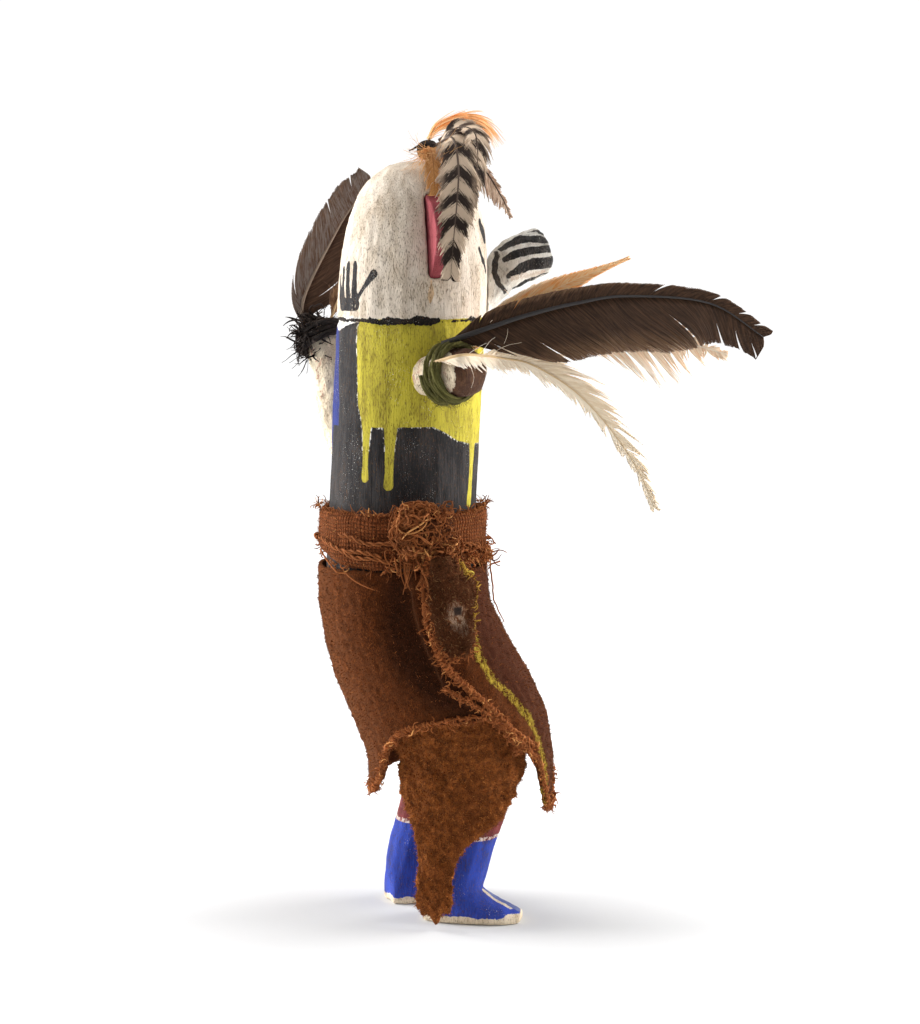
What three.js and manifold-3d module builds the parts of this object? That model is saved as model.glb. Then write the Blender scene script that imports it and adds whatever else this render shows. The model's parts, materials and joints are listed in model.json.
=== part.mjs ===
// Kachina doll: a standing figure carved from one length of cottonwood root, with a pegged
// snout, two slotted ears, two stub arms bound with yarn, tied feathers, and a wool belt,
// kilt and hanging cloth. Millimetres. The doll stands upright and faces -Y, so that its own
// right side is -X. Heights count from the top of the soles.
import {
  BoxGeometry,
  BufferAttribute,
  BufferGeometry,
  Box3,
  CatmullRomCurve3,
  CylinderGeometry,
  ExtrudeGeometry,
  Group,
  LatheGeometry,
  MathUtils,
  Mesh,
  MeshStandardMaterial,
  Shape,
  SphereGeometry,
  Vector2,
  Vector3,
} from 'three';
import { mergeVertices } from 'three/addons/utils/BufferGeometryUtils.js';
import Module from 'manifold-3d';

const { clamp, degToRad, lerp, smoothstep } = MathUtils;
const wasm = await Module();
wasm.setup();

// ---------------------------------------------------------------- driving dimensions
const FIT = 0.3; // gap between two pieces that touch

const CROWN_UP = 270.8; // top of the mask
const NECK_UP = 214.6; // carved groove between the mask and the shoulders
const TORSO_RADIUS = 26.5;
const MASK_RADIUS = 26.8;
const MASK_DOME = 2.8; // squareness of the dome: 2 is an ellipse
const GROOVE_DEPTH = 1.5;
const GROOVE_HALF = 1.3;
const HIP_TOP_UP = 127; // the torso starts to narrow below this
const HIP_END_UP = 86;
const LEAN = 0.05; // how far forward the body's axis moves per millimetre of height
const LEAN_ZERO_UP = 165; // height where the axis crosses the doll's middle

const STANCE_HALF = 14.5; // from the middle to the centre of each leg
// how far forward each ankle stands, the heel behind it, and degrees of turn outwards
const RIGHT_STANCE = { ankle: 16.4, heelBack: 13, splay: 25 };
const LEFT_STANCE = { ankle: 6, heelBack: 9.2, splay: 4 };
const LEG_ACROSS = 10.5; // half of the shin's width
const LEG_DEEP = 9.6;
const FOOT_LENGTH = 35.6;
const FOOT_HALF = 9.5;
const INSTEP_UP = 17;
const SOLE = 1.4; // thickness of the bare wooden sole

const EAR_UP = 243.6;
const EAR_HALF_UP = 15.5;
const EAR_REACH = 34.5; // outer edge, from the mask's middle
const EAR_ROOT = 16;
const EAR_THICK = 4;
const EAR_FORWARD = 4.3;

const BELT_LOW = 129;
const BELT_HIGH = 148.3;
const BELT_RADIUS = 30.3;

const CLOTH = 2; // thickness of the wool
const KILT_TOP = 128;
const KILT_FROM = 52; // degrees round from the front, by the doll's right, to the inner end
const KILT_TO = 458; // the outer end, a full turn and a lap further
const KILT_LAP = 1.3; // how far the lapping ends stand off the cloth between them

// ---------------------------------------------------------------- places and closed solids
/** A point given as the doll would say it: how far forward, to its right, and up. */
const place = (forward, right, up) => new Vector3(-right, -forward, up);

/** How far forward the body's axis is at a height. */
const axisForward = (up) => LEAN * (up - LEAN_ZERO_UP);

/** Six times the signed volume of an indexed geometry. */
function signedVolume(geometry) {
  const { position } = geometry.attributes;
  const corners = [new Vector3(), new Vector3(), new Vector3()];
  let total = 0;
  for (let i = 0; i < geometry.index.count; i += 3) {
    corners.forEach((corner, k) => corner.fromBufferAttribute(position, geometry.index.getX(i + k)));
    total += corners[0].dot(corners[1].clone().cross(corners[2]));
  }
  return total;
}

/** Turns every triangle round when the surface faces inwards. */
function faceOutwards(geometry) {
  if (signedVolume(geometry) >= 0) return geometry;
  const index = geometry.index.array;
  for (let i = 0; i < index.length; i += 3) {
    [index[i], index[i + 1]] = [index[i + 1], index[i]];
  }
  return geometry;
}

/** A primitive whose vertices go where shape(x, y, z) puts them, as one solid. */
function formed(primitive, shape) {
  const { position } = primitive.attributes;
  for (let i = 0; i < position.count; i += 1) {
    const moved = shape(position.getX(i), position.getY(i), position.getZ(i));
    position.setXYZ(i, moved.x, moved.y, moved.z);
  }
  primitive.deleteAttribute('normal');
  primitive.deleteAttribute('uv');
  const closed = faceOutwards(mergeVertices(primitive, 1e-3));
  return new wasm.Manifold(
    new wasm.Mesh({
      numProp: 3,
      vertProperties: Float32Array.from(closed.attributes.position.array),
      triVerts: Uint32Array.from(closed.index.array),
    }),
  );
}

/** The three.js geometry of a finished solid. */
function geometryOf(solid) {
  const result = solid.getMesh();
  const geometry = new BufferGeometry();
  geometry.setAttribute('position', new BufferAttribute(result.vertProperties, 3));
  geometry.setIndex(new BufferAttribute(result.triVerts, 1));
  geometry.computeVertexNormals();
  return geometry;
}

/** A smooth value along evenly spaced stations, read with t from 0 to 1. */
function graded(...values) {
  const curve = new CatmullRomCurve3(values.map((value) => new Vector3(value, 0, 0)));
  return (t) => curve.getPoint(clamp(t, 0, 1)).x;
}

/** A value that runs straight between [where, value] pairs, eased at each. */
function stepped(pairs) {
  return (where) => {
    const last = pairs.length - 1;
    const next = clamp(pairs.findIndex(([at]) => at > where), -1, last);
    if (next === 0) return pairs[0][1];
    if (next === -1) return pairs[last][1];
    const [from, low] = pairs[next - 1];
    const [to, high] = pairs[next];
    return lerp(low, high, smoothstep(where, from, to));
  };
}

/** A limb through stations { at, across, deep }, closed at both ends. */
function limb(stations, { sides, steps, grow = 0 }) {
  const path = new CatmullRomCurve3(stations.map(({ at }) => at), false, 'centripetal');
  const across = graded(...stations.map((station) => station.across + grow));
  const deep = graded(...stations.map((station) => station.deep + grow));
  const rightward = place(0, 1, 0);
  return formed(new CylinderGeometry(1, 1, 1, sides, steps), (x, y, z) => {
    const t = 0.5 - y;
    const tangent = path.getTangent(t);
    const front = tangent.clone().cross(rightward).normalize();
    const side = front.clone().cross(tangent).normalize();
    return path.getPoint(t).addScaledVector(side, x * across(t)).addScaledVector(front, z * deep(t));
  });
}

// ---------------------------------------------------------------- the carved figure
/** Radius of the torso and hips below the neck. */
function torsoRadius(up) {
  const down = clamp((HIP_TOP_UP - up) / (HIP_TOP_UP - HIP_END_UP), 0, 1);
  return TORSO_RADIUS * Math.sqrt(1 - down ** 2);
}

/** Radius of the mask above the neck, closing to nothing at the crown. */
function maskRadius(up) {
  const risen = clamp((up - NECK_UP) / (CROWN_UP - NECK_UP), 0, 1);
  return MASK_RADIUS * (1 - risen ** MASK_DOME) ** (1 / MASK_DOME);
}

/** The mask, torso and hips as one turned form on the leaning axis. */
function trunk(grow = 0) {
  const profile = [new Vector2(0, HIP_END_UP - grow)];
  for (const up of [86.3, 88, 91, 96, 103, 112, HIP_TOP_UP, 150, 180]) {
    profile.push(new Vector2(torsoRadius(up) + grow, up));
  }
  const groove = TORSO_RADIUS - GROOVE_DEPTH;
  profile.push(new Vector2(TORSO_RADIUS + grow, NECK_UP - GROOVE_HALF));
  profile.push(new Vector2(groove + grow, NECK_UP));
  for (const up of [NECK_UP + GROOVE_HALF, 228, 239, 247, 253, 258.5, 263, 266.5, 269, 270.3]) {
    profile.push(new Vector2(maskRadius(up) + grow, up + (grow * (up - NECK_UP)) / 60));
  }
  profile.push(new Vector2(0, CROWN_UP + grow));
  return formed(new LatheGeometry(profile, 32), (x, y, z) => place(axisForward(y) + z, x, y));
}

/** One leg from inside the hip, over the bent knee, down into the foot. */
function leg(side, ankle) {
  const out = side * STANCE_HALF;
  const stations = [
    { at: place(0, out * 0.76, 104), across: 10.5, deep: 12 },
    { at: place(ankle * 0.62, out * 0.9, 86), across: 12, deep: 12.5 },
    { at: place(ankle + 8.2, out, 70), across: 11.5, deep: 12 },
    { at: place(ankle + 12, out * 0.97, 56), across: 10.2, deep: 10.6 },
    { at: place(ankle + 8.4, out, 43), across: LEG_ACROSS, deep: 10.4 },
    { at: place(ankle + 4.1, out, 29), across: LEG_ACROSS, deep: LEG_DEEP },
    { at: place(ankle, out, 15), across: 9.6, deep: 9.6 },
    { at: place(ankle - 2, out, 6), across: 8, deep: 8.4 },
  ];
  return limb(stations, { sides: 12, steps: 10 });
}

/** One foot: flat under the sole, high at the instep and low at the rounded toe. */
function foot(side, { ankle, heelBack, splay }) {
  const plan = graded(5.8, 8.4, 9.1, 9.3, FOOT_HALF, FOOT_HALF, 9.1, 7.8, 5);
  const height = graded(12, 16, INSTEP_UP, 15.8, 12.8, 9, 6, 4, 2.2);
  const turn = degToRad(splay);
  return formed(new BoxGeometry(1, 1, 1, 8, 5, 3), (x, y, z) => {
    const along = x + 0.5;
    const risen = z + 0.5;
    const narrowing = 1 - 0.05 * (1 - risen) ** 4 - 0.42 * risen ** 3;
    const ahead = along * FOOT_LENGTH - heelBack;
    const beside = 2 * y * plan(along) * narrowing;
    return place(
      ankle + ahead * Math.cos(turn) - beside * Math.sin(turn),
      side * (STANCE_HALF + ahead * Math.sin(turn) + beside * Math.cos(turn)),
      (height(along) + SOLE) * risen * (1 - 0.12 * risen * (2 * y) ** 2) - SOLE,
    );
  });
}

/** One ear: a rounded tab, its broad faces to the front and back. */
function ear(side, grow = 0) {
  const outline = new Shape();
  outline.absellipse(EAR_ROOT, 0, EAR_REACH - EAR_ROOT + grow, EAR_HALF_UP + grow, -Math.PI / 2, Math.PI / 2);
  outline.lineTo(EAR_ROOT - grow, EAR_HALF_UP + grow);
  outline.lineTo(EAR_ROOT - grow, -EAR_HALF_UP - grow);
  const thick = EAR_THICK + 2 * grow;
  const tab = new ExtrudeGeometry(outline, { depth: thick, bevelEnabled: false, curveSegments: 18 });
  return formed(tab, (x, y, z) => place(EAR_FORWARD + z - thick / 2, side * x, EAR_UP + y));
}

/** The whole carving, with a slot for each ear. */
function figure() {
  return [1, -1].reduce((wood, side) => {
    const stance = side > 0 ? RIGHT_STANCE : LEFT_STANCE;
    return wood.add(leg(side, stance.ankle)).add(foot(side, stance)).subtract(ear(side, FIT));
  }, trunk());
}

/** The snout: a neck that rises out of the mask to a short round barrel, cut off flat. */
function snout() {
  const stations = [
    { at: place(21, 0, 214.5), across: 6, deep: 6 },
    { at: place(27, 0, 220.5), across: 6.3, deep: 6.3 },
    { at: place(32.5, 0, 227), across: 6.4, deep: 6.4 },
    { at: place(35.5, 0, 230.6), across: 7.4, deep: 7.4 },
    { at: place(38.5, 0, 233.2), across: 8.5, deep: 8.4 },
    { at: place(42.5, 0, 235.8), across: 9, deep: 8.7 },
    { at: place(47, 0, 237.7), across: 9, deep: 8.8 },
    { at: place(51.2, 0, 239.1), across: 8.7, deep: 8.6 },
    { at: place(52.2, 0, 239.4), across: 7.8, deep: 7.8 },
  ];
  return limb(stations, { sides: 16, steps: 12 }).subtract(trunk(FIT));
}

// ---------------------------------------------------------------- arms and their bindings
const RIGHT_ARM = [
  { at: place(-1, 16, 195.6), across: 8.2, deep: 8.2 },
  { at: place(4.5, 26.5, 196.8), across: 8.3, deep: 8.3 },
  { at: place(8.8, 34.5, 197.8), across: 8.5, deep: 8.5 },
  { at: place(12.2, 40.8, 198.4), across: 8.2, deep: 8.2 },
  { at: place(13.8, 43.8, 198.7), across: 4.6, deep: 4.6 },
];

const LEFT_ARM = [
  { at: place(-10, -18, 153), across: 6.5, deep: 6.5 },
  { at: place(-14.2, -26.5, 168), across: 7.8, deep: 7.8 },
  { at: place(-16.6, -34, 184), across: 8.2, deep: 8.2 },
  { at: place(-17.6, -40.5, 198), across: 8, deep: 8 },
  { at: place(-19.2, -44.5, 208), across: 7.4, deep: 7.4 },
  { at: place(-19.9, -46, 211.6), across: 4, deep: 4 },
];

/** A stub arm, seated against the torso. */
const arm = (stations, grow = 0) => limb(stations, { sides: 14, steps: 8, grow });

/** Turns of yarn around an arm, from one station to another, with a bulge at each turn. */
function yarn(stations, { from, to, thick, turns }) {
  const path = new CatmullRomCurve3(stations.map(({ at }) => at), false, 'centripetal');
  const girth = graded(...stations.map(({ across }) => across));
  const rings = turns * 3;
  const wrap = Array.from({ length: rings + 1 }, (_, i) => {
    const t = lerp(from, to, i / rings);
    const bulge = thick * (0.72 + 0.28 * Math.abs(Math.sin((Math.PI * turns * i) / rings)));
    return { at: path.getPoint(t), across: girth(t) + bulge, deep: girth(t) + bulge };
  });
  return limb(wrap, { sides: 12, steps: rings });
}

// ---------------------------------------------------------------- feathers
/** A vane's width along a feather: it grows from start to rise, and falls after fall to its tip. */
function vane(full, rise, fall, tip, start = 0) {
  return (t) => full * smoothstep(t, start, rise) * lerp(1, tip, smoothstep(t, fall, 1));
}

/**
 * A flat feather: a round quill along a curve with a thin vane on each side of it.
 * facing is the broad side's direction, and cup bends both vanes away from it.
 */
function feather({ shaft, facing, upper, lower, quill, blade, cup, steps }, grow = 0) {
  const curve = new CatmullRomCurve3(shaft, false, 'centripetal');
  return formed(new BoxGeometry(1, 1, 1, steps, 4, 1), (x, y, z) => {
    const t = x + 0.5;
    const tangent = curve.getTangent(t);
    const across = facing.clone().cross(tangent).normalize();
    const out = tangent.clone().cross(across).normalize();
    const stem = lerp(quill, 0.45, t) + grow;
    const width = Math.max((y < 0 ? lower(t) : upper(t)) + grow, stem + 0.25);
    const outwards = Math.abs(2 * y);
    const reach = outwards <= 0.5 ? 2 * outwards * stem : lerp(stem, width, 2 * outwards - 1);
    const half = outwards < 0.1 ? stem : blade / 2 + grow;
    const bend = cup * (reach / 12) ** 2;
    return curve
      .getPoint(t)
      .addScaledVector(across, Math.sign(y) * reach)
      .addScaledVector(out, 2 * z * half - bend);
  });
}

const OUTWARD = place(-0.2, 1, 0.05).normalize();

const FEATHERS = {
  flight_feather_right: {
    shaft: [
      place(5, 32, 207.6),
      place(16, 38.5, 212.2),
      place(32.5, 43, 217.8),
      place(50, 44.5, 221.8),
      place(68, 45, 224),
      place(98, 45.5, 221.3),
      place(118.5, 46, 209.3),
    ],
    facing: OUTWARD,
    upper: vane(6.2, 0.26, 0.3, 0.62),
    lower: vane(20.5, 0.44, 0.66, 0.16),
    quill: 1.1,
    blade: 0.8,
    cup: 0.5,
    steps: 12,
  },
  tan_feather_right: {
    shaft: [
      place(9.8, 28, 206.1),
      place(22, 36, 208.5),
      place(48, 41, 211.5),
      place(78, 41.2, 210.5),
      place(107, 41.2, 203),
    ],
    facing: OUTWARD,
    upper: vane(14.5, 0.72, 0.74, 0.1),
    lower: vane(15, 0.76, 0.78, 0.12, 0.36),
    quill: 0.8,
    blade: 0.8,
    cup: 0.4,
    steps: 9,
  },
  orange_feather_right: {
    shaft: [place(13.8, 26.4, 201.6), place(25, 34, 215.6), place(46, 37.2, 227.2), place(70.5, 37.5, 236.8)],
    facing: OUTWARD,
    upper: vane(5, 0.4, 0.5, 0.12),
    lower: vane(5.6, 0.35, 0.5, 0.12),
    quill: 0.7,
    blade: 0.7,
    cup: 0.3,
    steps: 7,
  },
  cream_feather_right: {
    shaft: [
      place(0.4, 39, 202),
      place(7.3, 46.8, 204.6),
      place(16, 43.4, 204.2),
      place(25, 39.6, 202.8),
      place(35, 39.2, 200.6),
      place(52.5, 39.8, 192.2),
      place(67, 40, 179),
      place(80, 40, 163),
      place(81.6, 40, 149.5),
    ],
    facing: OUTWARD,
    upper: vane(7.5, 0.6, 0.62, 0.3, 0.36),
    lower: vane(4, 0.12, 0.4, 0.35),
    quill: 0.8,
    blade: 0.8,
    cup: 0.3,
    steps: 14,
  },
  flight_feather_left: {
    shaft: [
      place(-26.5, -47.5, 209),
      place(-26, -47.5, 222),
      place(-13.6, -47.5, 246),
      place(-7.6, -46.5, 255.5),
      place(-1, -45, 265),
    ],
    facing: place(0.1, -1, 0).normalize(),
    upper: vane(10, 0.3, 0.62, 0.3),
    lower: vane(8.4, 0.44, 0.72, 0.5),
    quill: 1,
    blade: 0.8,
    cup: 0.4,
    steps: 8,
  },
  small_feather_left: {
    shaft: [place(-17.5, -41.5, 213.4), place(-14, -40.5, 222), place(-7, -39.5, 227.6), place(-0.5, -38.5, 229)],
    facing: place(0.1, -1, 0).normalize(),
    upper: vane(5.4, 0.4, 0.7, 0.4),
    lower: vane(5, 0.4, 0.7, 0.4),
    quill: 0.7,
    blade: 0.8,
    cup: 0.3,
    steps: 6,
  },
  crest_tuft: {
    shaft: [place(7.4, 5.4, 275.6), place(6.6, 13, 273.6), place(5.4, 20, 267.8), place(4.4, 25, 258.8)],
    facing: place(-0.1, 0.6, 1).normalize(),
    upper: vane(4, 0.1, 0.5, 0.5),
    lower: vane(4, 0.1, 0.5, 0.5),
    quill: 0.9,
    blade: 1.4,
    cup: 0.2,
    steps: 7,
  },
  crest_hackle_wide: {
    shaft: [
      place(10.6, 5.6, 276.6),
      place(13.6, 14.5, 278.4),
      place(13.4, 23.8, 268.4),
      place(11.8, 29.8, 254.6),
      place(10.8, 31.4, 243),
      place(9.8, 31.8, 231.5),
    ],
    facing: place(-0.25, 1, 0.4).normalize(),
    upper: vane(4.4, 0.3, 0.6, 0.35),
    lower: vane(4.4, 0.3, 0.6, 0.35),
    quill: 0.7,
    blade: 0.7,
    cup: 0.2,
    steps: 9,
  },
  crest_hackle_narrow: {
    shaft: [
      place(12.2, 2.2, 278.2),
      place(18.6, 8.5, 282.8),
      place(23.2, 16, 280),
      place(22.4, 23, 267),
      place(18, 27.6, 251.5),
    ],
    facing: place(0.25, 1, 0.5).normalize(),
    upper: vane(4.2, 0.3, 0.6, 0.3),
    lower: vane(4.2, 0.3, 0.6, 0.3),
    quill: 0.7,
    blade: 0.7,
    cup: 0.2,
    steps: 9,
  },
  crest_plume: {
    shaft: [
      place(9, -1.2, 278.6),
      place(14, -1.8, 283.4),
      place(24, -2.6, 286),
      place(31.4, -3, 283),
      place(36, -3.2, 276.8),
    ],
    facing: place(0, 1, 0),
    upper: vane(2.6, 0.3, 0.6, 0.5),
    lower: vane(2.6, 0.3, 0.6, 0.5),
    quill: 0.6,
    blade: 0.8,
    cup: 0.2,
    steps: 9,
  },
  crest_front_feather: {
    shaft: [
      place(12.6, -4, 275.6),
      place(21.4, -4.6, 275.4),
      place(30, -4.6, 269.4),
      place(37.4, -4.6, 258.6),
      place(41, -4.6, 251.2),
    ],
    facing: place(0, 1, 0),
    upper: vane(2.2, 0.3, 0.6, 0.5),
    lower: vane(6, 0.6, 0.62, 0.15),
    quill: 0.6,
    blade: 0.7,
    cup: 0.2,
    steps: 8,
  },
};

/** The string that ties the crest feathers on top of the mask. */
function crestTie(grow = 0) {
  return formed(new SphereGeometry(1, 12, 8), (x, y, z) =>
    place(8.6 + (4.2 + grow) * z, 0.4 + (4.4 + grow) * x, 274.6 + (3.6 + grow) * y),
  ).subtract(trunk(FIT));
}

// ---------------------------------------------------------------- wool
/** The woven belt, wound round the waist and cut to fit it. */
function belt(grow = 0) {
  const profile = [
    new Vector2(0, BELT_LOW - grow),
    new Vector2(29 + grow, BELT_LOW - grow),
    new Vector2(BELT_RADIUS + grow, BELT_LOW + 2.6),
    new Vector2(BELT_RADIUS - 0.2 + grow, lerp(BELT_LOW, BELT_HIGH, 0.5)),
    new Vector2(BELT_RADIUS + grow, BELT_HIGH - 2.6),
    new Vector2(29 + grow, BELT_HIGH + grow),
    new Vector2(0, BELT_HIGH + grow),
  ];
  const wound = formed(new LatheGeometry(profile, 32), (x, y, z) => {
    const sway = 0.25 * Math.sin(5 * Math.atan2(x, z)) * smoothstep(Math.hypot(x, z), 20, 29);
    return place(axisForward(y) + 0.4 + z, x, y + sway);
  });
  return grow > 0 ? wound : wound.subtract(trunk(FIT));
}

/** The bunch of ravelled threads that ties the belt on the doll's right side. */
function beltKnot() {
  const lobes = (x, y, z) => 1 + 0.07 * Math.sin(4 * Math.atan2(y, x)) + 0.04 * Math.sin(9 * z);
  return formed(new SphereGeometry(1, 14, 9), (x, y, z) => {
    const swell = lobes(x, y, z);
    return place(-0.6 + 11.5 * x * swell, 29.6 + 6.2 * z, 142.6 + 10.2 * y * swell);
  })
    .subtract(belt(FIT))
    .subtract(trunk(FIT));
}

const KILT_HEIGHTS = [34, 45, 56, 67, 78, 89, 100, 111, 122, 133];
const kiltForward = graded(21, 21.2, 20.8, 18, 14, 9.2, 4.2, 0.3, -1.2, -1.4);
const kiltRadius = graded(33, 33.6, 33.8, 35, 36, 35.2, 33.2, 31.2, 30.3, 30.3);

/** Where the kilt's stations put a height, from 0 to 1. */
const kiltShare = (up) => (up - KILT_HEIGHTS[0]) / (KILT_HEIGHTS.at(-1) - KILT_HEIGHTS[0]);

/** A point of the wool's outer skin, by its angle round from the front and its height. */
function woolPoint(angle, up, inset) {
  const radius = kiltRadius(kiltShare(up)) - inset;
  const turn = degToRad(angle);
  return place(kiltForward(kiltShare(up)) + radius * Math.cos(turn), radius * Math.sin(turn), up);
}

const kiltHem = stepped([
  [52, 62],
  [81, 75],
  [116, 73.5],
  [135, 69.5],
  [152, 62],
  [166, 50],
  [180, 43.5],
  [205, 43.5],
  [225, 47],
  [270, 52],
  [320, 53],
  [360, 49],
  [378, 42],
  [392, 37.5],
  [401, 40],
  [411, 55],
  [428, 68],
  [443, 79],
  [458, 87],
]);

/** The kilt: one cloth wound round the hips, its outer end lapped over its inner one. */
function kilt() {
  return formed(new BoxGeometry(1, 1, 1, 44, 6, 1), (x, y, z) => {
    const angle = lerp(KILT_FROM, KILT_TO, x + 0.5);
    const up = lerp(KILT_TOP, kiltHem(angle), 0.5 - y);
    const lapped = KILT_LAP * (smoothstep(angle, 378, 410) + smoothstep(angle, 102, 140) - 1);
    return woolPoint(angle, up, CLOTH * (0.5 - z) - lapped);
  });
}

const clothFront = stepped([
  [0.4, 118],
  [10, 112],
  [20, 109],
  [29.6, 104],
  [32.5, 98],
  [36, 76],
  [46, 63],
  [56, 52],
  [82, 50],
]);
const clothBack = stepped([
  [0.4, 136],
  [3.5, 140],
  [12, 138],
  [29.6, 137],
  [36, 140.5],
  [41.5, 147.6],
  [50, 154],
  [60, 151],
  [82, 150],
]);

/** The cloth that hangs from under the kilt over the right leg, and narrows to a strip. */
function hangingCloth() {
  const low = 0.4;
  const high = 82;
  return formed(new BoxGeometry(1, 1, 1, 7, 12, 1), (x, y, z) => {
    const up = lerp(low, high, y + 0.5);
    const angle = lerp(clothFront(up), clothBack(up), x + 0.5);
    const inset = CLOTH + KILT_LAP + 0.5 + CLOTH * (0.5 - z);
    const point = woolPoint(angle, Math.max(up, 58), inset);
    point.z = up;
    point.x -= 4 * smoothstep(-up, -22, 0);
    return point;
  });
}

// ---------------------------------------------------------------- finishes and the doll
const paint = (color, roughness = 0.8) => new MeshStandardMaterial({ color, roughness, metalness: 0 });

const finishes = {
  carving: paint(0xd9cdbb),
  stripedPaint: paint(0x8a857e),
  earPaint: paint(0xaa5054),
  armWood: paint(0xdcc9ab),
  greenYarn: paint(0x5a643c, 0.95),
  blackYarn: paint(0x26231f, 0.95),
  darkFeather: paint(0x40312a, 0.6),
  brownFeather: paint(0x4e382b, 0.6),
  orangeFeather: paint(0xe19a55, 0.6),
  tanFeather: paint(0xd9b084, 0.6),
  creamFeather: paint(0xe2d0b0, 0.6),
  barredFeather: paint(0x8c8075, 0.6),
  string: paint(0x1f1d1b, 0.9),
  tuftDown: paint(0xb27a3c, 0.9),
  beltWool: paint(0x96502c, 1),
  kiltWool: paint(0x7a3f1e, 1),
  clothWool: paint(0x7d431f, 1),
};

const feathers = Object.fromEntries(
  Object.entries(FEATHERS).map(([name, sizes]) => [name, feather(sizes)]),
);

/** A solid less the room that each named feather needs in it. */
function roomFor(solid, names) {
  return names.reduce((left, name) => left.subtract(feather(FEATHERS[name], FIT)), solid);
}

const handFeathers = ['flight_feather_right', 'tan_feather_right', 'orange_feather_right', 'cream_feather_right'];
const rightYarn = yarn(RIGHT_ARM, { from: 0.34, to: 0.62, thick: 2.9, turns: 3 })
  .subtract(arm(RIGHT_ARM, FIT))
  .subtract(trunk(FIT));
const leftYarn = yarn(LEFT_ARM, { from: 0.7, to: 0.9, thick: 2.8, turns: 2 })
  .subtract(arm(LEFT_ARM, FIT))
  .subtract(trunk(FIT));

const pieces = [
  ['figure', figure(), finishes.carving],
  ['snout', snout(), finishes.stripedPaint],
  ['ear_right', ear(1), finishes.earPaint],
  ['ear_left', ear(-1), finishes.earPaint],
  ['arm_right', arm(RIGHT_ARM).subtract(trunk(FIT)), finishes.armWood],
  ['arm_left', arm(LEFT_ARM).subtract(trunk(FIT)), finishes.armWood],
  ['yarn_right', roomFor(rightYarn, handFeathers), finishes.greenYarn],
  ['yarn_left', roomFor(leftYarn, ['flight_feather_left', 'small_feather_left']), finishes.blackYarn],
  ['flight_feather_right', feathers.flight_feather_right, finishes.darkFeather],
  ['tan_feather_right', feathers.tan_feather_right, finishes.tanFeather],
  ['orange_feather_right', feathers.orange_feather_right, finishes.orangeFeather],
  ['cream_feather_right', feathers.cream_feather_right, finishes.creamFeather],
  ['flight_feather_left', feathers.flight_feather_left, finishes.darkFeather],
  ['small_feather_left', feathers.small_feather_left, finishes.brownFeather],
  ['crest_tie', crestTie(), finishes.string],
  ['crest_tuft', feathers.crest_tuft, finishes.tuftDown],
  ['crest_hackle_wide', feathers.crest_hackle_wide, finishes.barredFeather],
  ['crest_hackle_narrow', feathers.crest_hackle_narrow, finishes.barredFeather],
  ['crest_plume', feathers.crest_plume, finishes.orangeFeather],
  ['crest_front_feather', feathers.crest_front_feather, finishes.brownFeather],
  ['belt', belt(), finishes.beltWool],
  ['belt_knot', beltKnot(), finishes.beltWool],
  ['kilt', kilt(), finishes.kiltWool],
  ['hanging_cloth', hangingCloth(), finishes.clothWool],
];

const doll = new Group();
for (const [name, solid, finish] of pieces) {
  const piece = new Mesh(geometryOf(solid), finish);
  piece.name = name;
  doll.add(piece);
}

// The origin is the middle of the doll's box, on the surface it stands on.
const extent = new Box3().setFromObject(doll);
const middle = extent.getCenter(new Vector3());
doll.position.set(-middle.x, -middle.y, -extent.min.z);

export default doll;
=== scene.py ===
"""Dresses the kachina doll: painted carving, bound feathers, yarn, wool belt, kilt and cloth.

Lengths are millimetres in the doll's own directions (forward, to its right, up) until DollSpace
turns them into the shared frame's metres. Colours are as they look, 0 to 255, until Tree turns
them into linear light.
"""

from __future__ import annotations

import json
import logging
import math
import random
from collections.abc import Callable, Sequence
from dataclasses import dataclass, field
from enum import Enum

import bpy
import numpy as np
from mathutils import Matrix, Vector, noise
from mathutils.bvhtree import BVHTree

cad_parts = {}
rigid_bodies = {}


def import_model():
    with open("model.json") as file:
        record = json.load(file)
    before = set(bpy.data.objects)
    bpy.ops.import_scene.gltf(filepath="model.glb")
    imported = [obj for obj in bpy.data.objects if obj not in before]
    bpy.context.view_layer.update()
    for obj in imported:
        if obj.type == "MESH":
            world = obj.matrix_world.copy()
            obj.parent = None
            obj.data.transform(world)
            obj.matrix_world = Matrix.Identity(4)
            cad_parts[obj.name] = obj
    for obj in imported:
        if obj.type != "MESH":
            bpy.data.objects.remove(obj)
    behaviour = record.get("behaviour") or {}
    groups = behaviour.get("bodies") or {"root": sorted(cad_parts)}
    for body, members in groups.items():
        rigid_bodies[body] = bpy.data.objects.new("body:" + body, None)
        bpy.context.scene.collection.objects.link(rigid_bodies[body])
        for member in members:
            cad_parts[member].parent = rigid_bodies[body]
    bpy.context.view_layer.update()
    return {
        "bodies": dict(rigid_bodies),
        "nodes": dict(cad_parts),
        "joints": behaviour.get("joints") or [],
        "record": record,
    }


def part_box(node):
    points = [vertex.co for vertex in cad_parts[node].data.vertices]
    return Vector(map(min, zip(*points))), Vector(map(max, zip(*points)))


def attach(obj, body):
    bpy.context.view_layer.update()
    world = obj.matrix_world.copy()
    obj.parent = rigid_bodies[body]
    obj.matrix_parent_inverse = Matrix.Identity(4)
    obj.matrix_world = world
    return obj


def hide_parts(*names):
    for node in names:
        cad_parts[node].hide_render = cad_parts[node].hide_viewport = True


Triple = tuple[float, float, float]
Pair = tuple[float, float]
Stroke = tuple[Triple, ...]
Outline = tuple[Pair, ...]
Socket = bpy.types.NodeSocket
Node = bpy.types.Node
Material = bpy.types.Material
Piece = bpy.types.Object
Array = np.ndarray

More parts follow.
